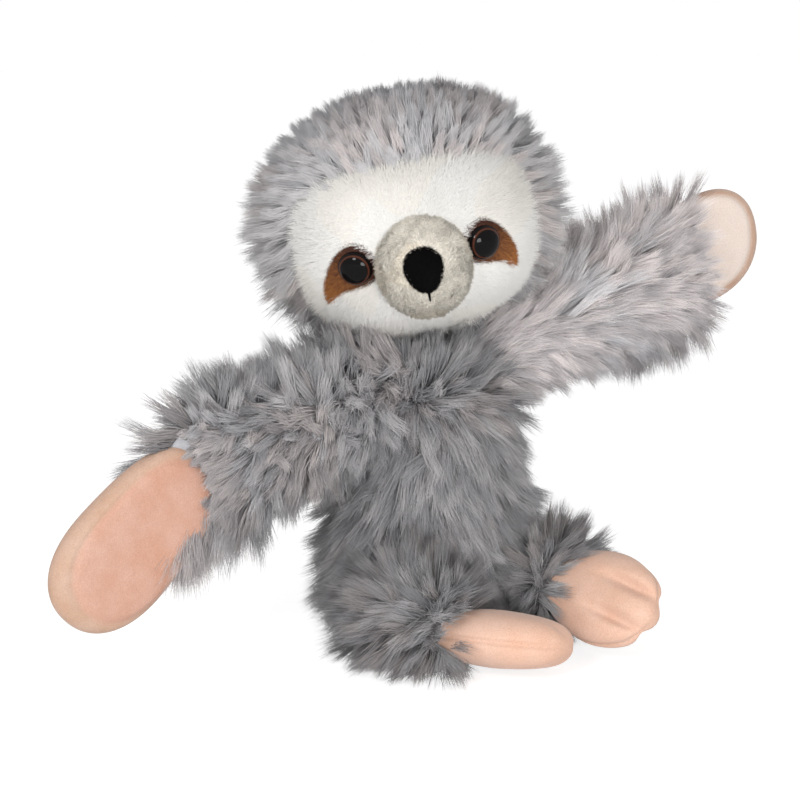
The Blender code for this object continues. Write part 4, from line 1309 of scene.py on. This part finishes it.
class SLOTH_OT_legs(bpy.types.Operator):
    """Make both legs, with pile combed towards the feet"""
    bl_idname = "sloth.legs"
    bl_label = "Legs"

    def execute(self, context):
        fur = context.scene.sloth_fur
        # Painted shade, in part: the legs' pile is a darker copy of the fur colours.
        material = fur_material("Leg pile", 0.53, 0.27)
        for index, (side, longer) in enumerate((("left", 1.08), ("right", 1.28))):
            form = leg_form(side)
            skin = skin_of(f"{side}_leg_skin", form, 36, 24, skin_material())
            skin_ride(skin, f"{side}_leg", (f"{side}_leg_cover", f"{side}_leg_stuffing"))
            line = unit(foot_matrix(side)[:3, 3] - joint_at(f"{side}_hip"))

            def ways(spots):
                end = np.clip(spots[3] @ line * 1.2, 0, 1)[:, None]
                return (spots[3] * (0.75 - 0.2 * end) + line * 0.15
                        + LEG_SWEEP[side] * (1 - end) + ANKLE_SWEEP[side] * end)

            pile = long_pile(f"{side}_leg_pile", form, material, ways, fur.limb_length * longer,
                             SEED["leg"] + index, 0.08, 0.90, shade=0.05, warm=0.3, density=1.3,
                             wild=0.9, mottle=0.36, gather=(0.4, 1.0))
            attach(pile, f"{side}_leg")
        return {"FINISHED"}


def eye_matrix(side):
    """Local z points out of the face at an eye, along the panel's own normal."""
    x, z, step = side * EYE_APART / 2 + EYE_SHIFT, -EYE_DROP, EYE_RADIUS / 2
    here = np.array((x, -face_depth(x, z, FACE_RECESS), z))
    across = np.array((x + step, -face_depth(x + step, z, FACE_RECESS), z)) - here
    above = np.array((x, -face_depth(x, z + step, FACE_RECESS), z + step)) - here
    local = along(here, np.cross(across, above), np.array((1.0, 0.0, 0.0)))
    return HEAD @ local


def patch_outline(side):
    """A teardrop that shows above and outside its eye, as a closed curve through its points.

    Each stretch is a Catmull-Rom cubic: its slope at a point is half the step between the
    point's two neighbours.
    """
    points = np.array(PATCH_SHARES) * EYE_RADIUS
    slopes = (np.roll(points, -1, axis=0) - np.roll(points, 1, axis=0)) / 2

    def outline(turn):
        at = turn % 1 * len(points)
        low = np.floor(at).astype(int) % len(points)
        high, t = (low + 1) % len(points), (at - np.floor(at))[..., None]
        place = (points[low] * (1 + 2 * t) * (1 - t)**2 + slopes[low] * t * (1 - t)**2
                 + points[high] * t**2 * (3 - 2 * t) + slopes[high] * t**2 * (t - 1))
        return side * (EYE_APART / 2 + place[..., 0]) + EYE_SHIFT, place[..., 1] - EYE_DROP
    return outline


def in_patch(points, side):
    """Which points lie behind a patch: within its outline's radius in their own direction."""
    local = (points - HEAD[:3, 3]) @ HEAD[:3, :3]
    x, z = patch_outline(side)(np.linspace(0, 1, 120, endpoint=False))
    middle_x, middle_z = x.mean(), z.mean()
    angles, radii = np.arctan2(z - middle_z, x - middle_x), np.hypot(x - middle_x, z - middle_z)
    away_x, away_z = local[:, 0] - middle_x, local[:, 2] - middle_z
    return np.hypot(away_x, away_z) < 0.96 * np.interp(np.arctan2(away_z, away_x), angles, radii,
                                                       period=2 * pi)


class SLOTH_OT_face(bpy.types.Operator):
    """Make the white face panel and the brown patches with their short pile"""
    bl_idname = "sloth.face"
    bl_label = "Face"

    def execute(self, context):
        face = context.scene.sloth_face
        form = patch_form(face_edge, -0.0004, FACE_EDGE_FALL)
        white = tuple(face.white)
        base = plush_material("White plush", scaled(white, 0.82), scaled(white, 0.92),
                              120.0, 2400.0, 0.5, 0.2)
        panel = backed("face_panel_pad", form, FACE_THICKNESS - FACE_EDGE_FALL, 120, 24, base)
        skin_ride(panel, "head", ("face_panel",))
        pile = pile_material("White pile", scaled(white, 0.80), white,
                             (1.0, 0.985, 0.96), root=0.80, roughness=0.8, specular=0.2)
        middle = placed(np.array((0.0, -HEAD_HALVES[1], -MUZZLE_DROP)), HEAD)
        clear = [eye_matrix(way)[:3, 3] for way in (-1, 1)]

        def open_face(spots):
            kept = np.linalg.norm(spots[0] - middle, axis=1) > MUZZLE_CLEAR
            for way, spot in zip((-1, 1), clear):
                kept &= np.linalg.norm(spots[0] - spot, axis=1) > EYE_CLEAR
                kept &= ~in_patch(spots[0], way)
            return kept

        def lengths(spots):
            return face.white_length * (1 + 0.7 * np.clip(face_share(spots[0]) * 4 - 3, 0, 1))

        def ways(spots):
            points, _, _, out = spots
            away = unit(points - middle)
            swirl = np.stack([waves(points, 0.02, 31 + axis) for axis in range(3)], axis=-1)
            return out * 0.62 + away * 0.52 + swirl * 0.12

        def whites(points):
            """Darker towards the brow, because the lamps light it most."""
            return 0.50 - 0.75 * ((points - HEAD_CENTRE) @ HEAD[:3, 2] / FACE_CHIN_DROP)

        made = short_pile("face_pile", form, pile, ways, lengths, 7.5, 0.00013,
                          SEED["face"], keep=open_face, light=whites, blotch=0.10, grain=0.12)
        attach(made, "head")
        brown = pile_material("Brown pile", tuple(face.red_brown), tuple(face.orange_brown),
                              (1.0, 1.0, 1.0), root=0.55, roughness=0.7)
        backing = plush_material("Brown plush", scaled(face.red_brown, 0.7),
                                 tuple(face.red_brown), 200.0, 2600.0, 0.5, 0.1)
        for word, way in WAY.items():
            patch = patch_form(patch_outline(way), PATCH_RISE, PATCH_FALL)
            pad = backed(f"{word}_patch_pad", patch, PATCH_THICKNESS, 48, 10, backing)
            skin_ride(pad, "head", (f"{word}_eye_patch",))
            eye = eye_matrix(way)[:3, 3]

            def shades(points):
                """Red brown near the eye, and orange brown outwards and downwards."""
                local = (points - HEAD[:3, 3]) @ HEAD[:3, :3]
                out = ((local[:, 0] - EYE_SHIFT) * way - EYE_APART / 2) / PATCH_FADE
                fall = (-EYE_DROP - local[:, 2]) / PATCH_FADE
                return -0.04 + 0.56 * (out + fall)

            def combed(spots):
                return spots[3] * 0.50 + unit(spots[0] - eye) * 0.70

            made = short_pile(f"{word}_patch_pile", patch, brown, combed, 0.0018,
                              14.0, 0.00012, SEED["patch"] + way, light=shades, blotch=0.0,
                              grain=0.22, wild=0.15)
            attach(made, "head")
        return {"FINISHED"}


class SLOTH_OT_muzzle(bpy.types.Operator):
    """Make the muzzle dome, the nose and the mouth stitch"""
    bl_idname = "sloth.muzzle"
    bl_label = "Muzzle and nose"

    def execute(self, context):
        face = context.scene.sloth_face
        beige = tuple(face.beige)
        base = float(face_depth(0, MUZZLE_DROP, FACE_RECESS))
        centre = np.array((0.0, -base, -MUZZLE_DROP))
        form = dome_form(MUZZLE_HALF_WIDTH, MUZZLE_HALF_HEIGHT, MUZZLE_REACH, centre)
        plush = plush_material("Muzzle plush", scaled(beige, 0.75), beige,
                               700.0, 2200.0, 0.7, 0.1)
        dome = backed("muzzle_dome", form, 0.004, 72, 28, plush)
        skin_ride(dome, "head", ("muzzle_cover", "muzzle_stuffing"))
        pile = pile_material("Muzzle pile", scaled(beige, 0.68), scaled(beige, 1.28),
                             (1.0, 0.97, 0.93), root=0.62, roughness=0.75, specular=0.25)
        tip = placed(centre - np.array((0.0, MUZZLE_REACH, 0.0)), HEAD)

        def brushed(spots):
            points, side, other, out = spots
            angle = 3.2 * waves(points, 0.011, 41) + 1.4 * waves(points, 0.004, 42)
            sweep = side * np.cos(angle)[:, None] + other * np.sin(angle)[:, None]
            return out * 0.52 + sweep * 0.75

        def beige_painted_shade(points):
            """Painted shade: lighter towards the top and darker towards the bottom of the muzzle.
            """
            return 0.40 + 0.42 * ((points - tip) @ HEAD[:3, 2] / MUZZLE_HALF_HEIGHT)

        def off_nose(spots):
            return np.linalg.norm(spots[0] - tip, axis=1) > NOSE_CLEAR

        made = short_pile("muzzle_pile", form, pile, brushed, face.muzzle_length,
                          3.6, 0.00014, SEED["muzzle"], keep=off_nose, light=beige_painted_shade, wild=0.35,
                          per=5, spread=0.0003)
        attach(made, "head")
        black = tuple(face.black)
        felt = plush_material("Nose plush", black, scaled(black, 1.8), 300.0,
                              2600.0, 0.7, 0.0, 0.9)
        felt.node_tree.nodes["Principled BSDF"].inputs["Specular IOR Level"].default_value = 0.03
        nose_centre = centre - np.array((0.0, MUZZLE_REACH - 0.0022, 0.0)) + NOSE_SHIFT
        nose_form = dome_form(NOSE_HALF_WIDTH, NOSE_HALF_HEIGHT, NOSE_STAND + 0.0022, nose_centre,
                              taper=0.16)
        nose = backed("nose_pad", nose_form, 0.0012, 56, 16, felt)
        skin_ride(nose, "head", ("nose",))
        hair = pile_material("Nose pile", black, scaled(black, 2.4),
                             (1.0, 1.0, 1.0), root=0.7, roughness=0.8, specular=0.03)
        made = short_pile("nose_pile", nose_form, hair,
                          lambda spots: spots[3] + DOWN * 0.15,
                          0.0008, 22.0, 0.00010, SEED["nose"])
        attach(made, "head")
        thread = stitch_piece(centre + NOSE_SHIFT, felt)
        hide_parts("mouth_stitch")
        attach(thread, "head")
        return {"FINISHED"}


def stitch_piece(centre, material):
    """A short thread that follows the muzzle down from the nose: a tube on an ellipse."""
    low = -NOSE_HALF_HEIGHT - STITCH_LENGTH
    high = -NOSE_HALF_HEIGHT * 0.9
    steps, turns = 12, 10
    z = np.linspace(high, low, steps)
    y = -MUZZLE_REACH * np.sqrt(1 - (z / MUZZLE_HALF_HEIGHT)**2) - 0.0007
    x = 0.0 * z
    path = np.stack((x, y, z), axis=-1) + centre
    tangent = unit(np.gradient(path, axis=0))
    side = unit(np.cross(tangent, np.array((0.0, 1.0, 0.0))))
    other = np.cross(tangent, side)
    around = 2 * pi * np.arange(turns) / turns
    thick = STITCH_RADIUS * (1 - 0.5 * np.linspace(0, 1, steps)**3)
    rings = path[:, None] + thick[:, None, None] * (
        side[:, None] * np.cos(around)[:, None] + other[:, None] * np.sin(around)[:, None])
    points = placed(np.concatenate((path[:1], path[-1:], rings.reshape(-1, 3))), HEAD)
    return outward(new_piece("mouth_thread", points, capped_faces(steps, turns), material))


def eye_material(face):
    """A dark pupil in a brown ring under a clear gloss, drawn on the eye's own UV map."""
    made, tree, shader = blank_material("Eye", 0.04, Specular_IOR_Level=0.09)
    uv = tree.nodes.new("ShaderNodeUVMap")
    uv.uv_map = UV_MAP
    shifted = tree.nodes.new("ShaderNodeVectorMath")
    shifted.operation = "SUBTRACT"
    shifted.inputs[1].default_value = (0.5, 0.5, 0)
    tree.links.new(uv.outputs[0], shifted.inputs[0])
    length = tree.nodes.new("ShaderNodeVectorMath")
    length.operation = "LENGTH"
    tree.links.new(shifted.outputs[0], length.inputs[0])
    ramp = tree.nodes.new("ShaderNodeValToRGB")
    ramp.color_ramp.interpolation = "LINEAR"
    black = (0.003, 0.0025, 0.0025, 1)
    iris = (*face.iris, 1)
    stops = ((0.0, black), (0.37, black), (0.395, iris), (0.41, iris), (0.435, black))
    for index, (place, colour) in enumerate(stops):
        stop = ramp.color_ramp.elements[index] if index < 2 else ramp.color_ramp.elements.new(place)
        stop.position, stop.color = place, colour
    tree.links.new(length.outputs["Value"], ramp.inputs[0])
    tree.links.new(ramp.outputs[0], shader.inputs["Base Color"])
    return made


class SLOTH_OT_eyes(bpy.types.Operator):
    """Make the safety eyes and finish their washers"""
    bl_idname = "sloth.eyes"
    bl_label = "Eyes"

    def execute(self, context):
        material = eye_material(context.scene.sloth_face)
        plastic, tree, shader = blank_material("Washer plastic", 0.5)
        tone = grouped(tree, plush_group(), {"Base": (0.70, 0.70, 0.68, 1),
                                             "Pale": (0.78, 0.78, 0.76, 1), "Blotch": 400.0,
                                             "Fibre": 3000.0})
        tree.links.new(tone.outputs["Color"], shader.inputs["Base Color"])
        angles = np.linspace(0, pi / 2, 15)
        rise = EYE_DOME_RISE - EYE_FLANGE
        profile = [(EYE_FLANGE + rise * cos(a), EYE_RADIUS * sin(a)) for a in angles]
        profile += [(0.0, EYE_RADIUS), (0.0, EYE_STEM_RADIUS), (-EYE_STEM_LENGTH, EYE_STEM_RADIUS),
                    (-EYE_STEM_LENGTH, 0.0)]
        for word, way in WAY.items():
            matrix = eye_matrix(way)
            eye = turned(f"{word}_eye_dome", profile, matrix, 64, material)
            points = np.array([v.co for v in eye.data.vertices])
            local = (points - matrix[:3, 3]) @ matrix[:3, :3]
            corner = np.zeros(len(eye.data.loops), np.int32)
            eye.data.loops.foreach_get("vertex_index", corner)
            uv = 0.5 + 0.48 * local[corner, :2] / EYE_RADIUS
            layer = eye.data.uv_layers.new(name=UV_MAP)
            layer.data.foreach_set("uv", uv.astype(np.float32).ravel())
            eye.data.set_sharp_from_angle(angle=radians(50))
            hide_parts(f"{word}_eye")
            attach(eye, "head")
            frame["nodes"][f"{word}_eye_washer"].data.materials.clear()
            frame["nodes"][f"{word}_eye_washer"].data.materials.append(plastic)
        return {"FINISHED"}


class SLOTH_OT_hands(bpy.types.Operator):
    """Make the padded mitten hands"""
    bl_idname = "sloth.hands"
    bl_label = "Hands"

    def execute(self, context):
        pads = context.scene.sloth_pads
        for side, palm in (("left", pads.pale), ("right", pads.palm)):
            plush = plush_material(f"{side.capitalize()} hand plush", tuple(pads.side),
                                   lighter(pads.side), 85.0, 2200.0, 0.35, 0.2)
            tree = plush.node_tree
            mask = tree.nodes.new("ShaderNodeAttribute")
            mask.attribute_name = "palm"
            tone = next(node for node in tree.nodes if node.type == "GROUP")
            for label, rest, front in (("Base", tuple(pads.side), tuple(palm)),
                                       ("Pale", lighter(pads.side), lighter(palm))):
                mixed = mix_colours(tree, mask.outputs["Fac"], (*rest, 1), (*front, 1))
                tree.links.new(mixed, tone.inputs[label])
            turns, steps = 200, 120
            hand = skin_of(f"{side}_hand_pad", hand_form(side), turns, steps, plush)
            turn, place = np.meshgrid(np.arange(turns) / turns, np.linspace(0, 1, steps + 1)[1:-1])
            rim, face, around = pad_rings(turn, place)
            share = np.clip((palm_seam(around) - rim) / PALM_BLEND + 0.5, 0, 1) * (face > 0)
            layer = hand.data.attributes.new("palm", "FLOAT", "POINT")
            layer.data.foreach_set("value", np.concatenate(((1.0, 0.0), share.ravel())))
            outward(hand)
            skin_ride(hand, f"{side}_hand",
                      (f"{side}_hand_palm", f"{side}_hand_back", f"{side}_hand_stuffing"))
        return {"FINISHED"}


class SLOTH_OT_feet(bpy.types.Operator):
    """Make the padded feet with three toes each"""
    bl_idname = "sloth.feet"
    bl_label = "Feet"

    def execute(self, context):
        pads = context.scene.sloth_pads
        plush = plush_material("Foot plush", tuple(pads.foot), lighter(pads.foot), 85.0, 2200.0,
                               0.35, 0.2)
        for side in ("left", "right"):
            foot = skin_of(f"{side}_foot_pad", foot_form(side), 180, 120, plush)
            outward(foot)
            skin_ride(foot, f"{side}_leg",
                      (f"{side}_foot_top", f"{side}_foot_sole", f"{side}_foot_stuffing"))
        return {"FINISHED"}


def band_strip(name, start, end, half_wide, half_deep, bow, material):
    """A flat strip along the arms' line between two distances, bowed across its width."""
    steps, columns = 12, 8
    across = np.linspace(-1, 1, columns)
    depth = bow * (0.5 - across**2)
    loop = np.concatenate((np.stack((depth + half_deep, across * half_wide), axis=-1),
                           np.stack((depth - half_deep, across * half_wide), axis=-1)[::-1]))
    out = np.linspace(start, end, steps)
    middle = ARM_MIDDLE - ARM_UP * BAND_DROP
    rings = (middle + out[:, None, None] * ARM_LINE - FRONT * loop[None, :, :1]
             + ARM_UP * loop[None, :, 1:])
    ends = np.array((rings[0].mean(axis=0), rings[-1].mean(axis=0)))
    points = np.concatenate((ends, rings.reshape(-1, 3)))
    return outward(new_piece(name, points, capped_faces(steps, 2 * columns), material))


class SLOTH_OT_band(bpy.types.Operator):
    """Make the slap band and its sleeve in spans along the body and the arms"""
    bl_idname = "sloth.band"
    bl_label = "Slap band"

    def execute(self, context):
        steel, tree, shader = blank_material("Band steel", 0.32, Metallic=1.0)
        tone = grouped(tree, plush_group(), {"Base": (0.55, 0.56, 0.57, 1),
                                             "Pale": (0.64, 0.65, 0.66, 1), "Blotch": 60.0,
                                             "Fibre": 900.0})
        tree.links.new(tone.outputs["Color"], shader.inputs["Base Color"])
        cloth = plush_material("Band cloth", (0.13, 0.13, 0.14), (0.20, 0.20, 0.21), 300.0, 2600.0,
                               0.4, 0.1)
        wide, deep = BAND_WIDTH / 2, BAND_THICKNESS / 2
        grown = SLEEVE_GAP + SLEEVE_WALL

        def strips(word, start, end, tip=0.0):
            """The steel strip and the cloth sleeve of a span, longer than it by a tip."""
            made = (band_strip(f"band_{word}", start, end, wide, deep, BAND_BOW, steel),
                    band_strip(f"sleeve_{word}", start, end + tip, wide + grown, deep + grown,
                               BAND_BOW, cloth))
            for obj, node in zip(made, ("slap_band", "band_sleeve")):
                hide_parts(node)
            return made

        for obj in strips("middle", -ARM_ROOT, ARM_ROOT):
            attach(obj, "torso")
        for side, way in WAY.items():
            for word, start, end, *bodies in arm_spans(side):
                reach, tip = (BAND_HALF_LENGTH, SLEEVE_END) if word == "cuff" else (end, 0.0)
                for obj in strips(f"{side}_{word}", start * way, reach * way, tip * way):
                    blend_span(obj)
        return {"FINISHED"}


class SLOTH_OT_stage(bpy.types.Operator):
    """Make the floor, the lamps, the white surroundings and the camera"""
    bl_idname = "sloth.stage"
    bl_label = "Stage"

    def execute(self, context):
        stage = context.scene.sloth_stage
        half = FLOOR_SIDE / 2
        corners = np.array([(x * half, y * half, -FLOOR_DROP) for x, y in
                            ((-1, -1), (1, -1), (1, 1), (-1, 1))])
        made, tree, shader = blank_material("Floor", 0.9)
        shader.inputs["Base Color"].default_value = (*stage.floor, 1)
        path = tree.nodes.new("ShaderNodeLightPath")
        seen = math_node(tree, "MAXIMUM", path.outputs["Is Camera Ray"],
                         path.outputs["Is Glossy Ray"])
        shown = tree.nodes.new("ShaderNodeBsdfDiffuse")
        shown.inputs["Color"].default_value = (FLOOR_SHADE, FLOOR_SHADE, FLOOR_SHADE, 1)
        glow = tree.nodes.new("ShaderNodeEmission")
        glow.inputs["Strength"].default_value = FLOOR_GLOW
        both = tree.nodes.new("ShaderNodeAddShader")
        tree.links.new(shown.outputs[0], both.inputs[0])
        tree.links.new(glow.outputs[0], both.inputs[1])
        mix = tree.nodes.new("ShaderNodeMixShader")
        tree.links.new(seen, mix.inputs[0])
        tree.links.new(shader.outputs[0], mix.inputs[1])
        tree.links.new(both.outputs[0], mix.inputs[2])
        tree.links.new(mix.outputs[0], tree.nodes["Material Output"].inputs["Surface"])
        mesh = bpy.data.meshes.new("floor")
        mesh.from_pydata(corners.tolist(), [], [(0, 1, 2, 3)])
        mesh.materials.append(made)
        floor = bpy.data.objects.new("floor", mesh)
        context.scene.collection.objects.link(floor)
        self.world(context, stage.sky)
        self.lamp(context, "key", stage.key_power, KEY_PLACE, KEY_SIZE)
        self.lamp(context, "fill", stage.fill_power, FILL_PLACE, FILL_SIZE)
        self.camera(context)
        context.scene.view_settings.view_transform = "Standard"
        return {"FINISHED"}

    def world(self, context, sky):
        """White for the camera and for reflections, and an even soft light for the rest."""
        world = bpy.data.worlds.new("Studio")
        world.use_nodes = True
        tree = world.node_tree
        dim = tree.nodes["Background"]
        dim.inputs["Color"].default_value = (1, 1, 1, 1)
        dim.inputs["Strength"].default_value = sky
        white = tree.nodes.new("ShaderNodeBackground")
        white.inputs["Color"].default_value = (1, 1, 1, 1)
        path = tree.nodes.new("ShaderNodeLightPath")
        shiny = math_node(tree, "MAXIMUM", path.outputs["Is Glossy Ray"],
                          path.outputs["Is Transmission Ray"])
        seen = math_node(tree, "MAXIMUM", path.outputs["Is Camera Ray"], shiny)
        mix = tree.nodes.new("ShaderNodeMixShader")
        tree.links.new(seen, mix.inputs[0])
        tree.links.new(dim.outputs[0], mix.inputs[1])
        tree.links.new(white.outputs[0], mix.inputs[2])
        tree.links.new(mix.outputs[0], tree.nodes["World Output"].inputs[0])
        context.scene.world = world

    def lamp(self, context, name, power, place, size):
        """A round soft lamp that points at the camera's target."""
        data = bpy.data.lights.new(name, "AREA")
        data.shape = "DISK"
        data.size = size
        data.energy = power
        lamp = bpy.data.objects.new(name, data)
        lamp.location = place
        lamp.rotation_euler = (CAMERA_TARGET - Vector(place)).to_track_quat("-Z", "Y").to_euler()
        context.scene.collection.objects.link(lamp)

    def camera(self, context):
        """In front and a little above, at the photograph's angle."""
        data = bpy.data.cameras.new("camera")
        data.sensor_width = 36.0
        data.lens = data.sensor_width * CAMERA_DISTANCE / VIEW_WIDTH
        camera = bpy.data.objects.new("camera", data)
        back = Vector((0, -cos(CAMERA_ELEVATION), sin(CAMERA_ELEVATION)))
        camera.location = CAMERA_TARGET + back * CAMERA_DISTANCE
        camera.rotation_euler = (-back).to_track_quat("-Z", "Y").to_euler()
        context.scene.collection.objects.link(camera)
        context.scene.camera = camera


class SLOTH_PT_panel(bpy.types.Panel):
    """Lists the sloth's pieces and settings."""
    bl_idname = "SLOTH_PT_panel"
    bl_label = "Plush Sloth"
    bl_space_type = "VIEW_3D"
    bl_region_type = "UI"
    bl_category = "Sloth"

    def draw(self, context):
        for operator in OPERATORS:
            self.layout.operator(operator.bl_idname)
        for name in SETTINGS:
            settings = getattr(context.scene, name)
            for key in settings.__annotations__:
                self.layout.prop(settings, key)


OPERATORS = (SLOTH_OT_head, SLOTH_OT_torso, SLOTH_OT_arms, SLOTH_OT_legs, SLOTH_OT_face,
             SLOTH_OT_muzzle, SLOTH_OT_eyes, SLOTH_OT_hands, SLOTH_OT_feet, SLOTH_OT_band,
             SLOTH_OT_stage)
SETTINGS = {"sloth_fur": SlothFur, "sloth_face": SlothFace, "sloth_pads": SlothPads,
            "sloth_stage": SlothStage}


def register():
    for settings in SETTINGS.values():
        bpy.utils.register_class(settings)
    for name, settings in SETTINGS.items():
        setattr(bpy.types.Scene, name, PointerProperty(type=settings))
    for operator in OPERATORS:
        bpy.utils.register_class(operator)
    bpy.utils.register_class(SLOTH_PT_panel)


def unregister():
    bpy.utils.unregister_class(SLOTH_PT_panel)
    for operator in reversed(OPERATORS):
        bpy.utils.unregister_class(operator)
    for name, settings in SETTINGS.items():
        delattr(bpy.types.Scene, name)
        bpy.utils.unregister_class(settings)


def main():
    """Make all the pieces."""
    register()
    for operator in OPERATORS:
        group, name = operator.bl_idname.split(".")
        getattr(getattr(bpy.ops, group), name)()


if __name__ == "__main__":
    main()
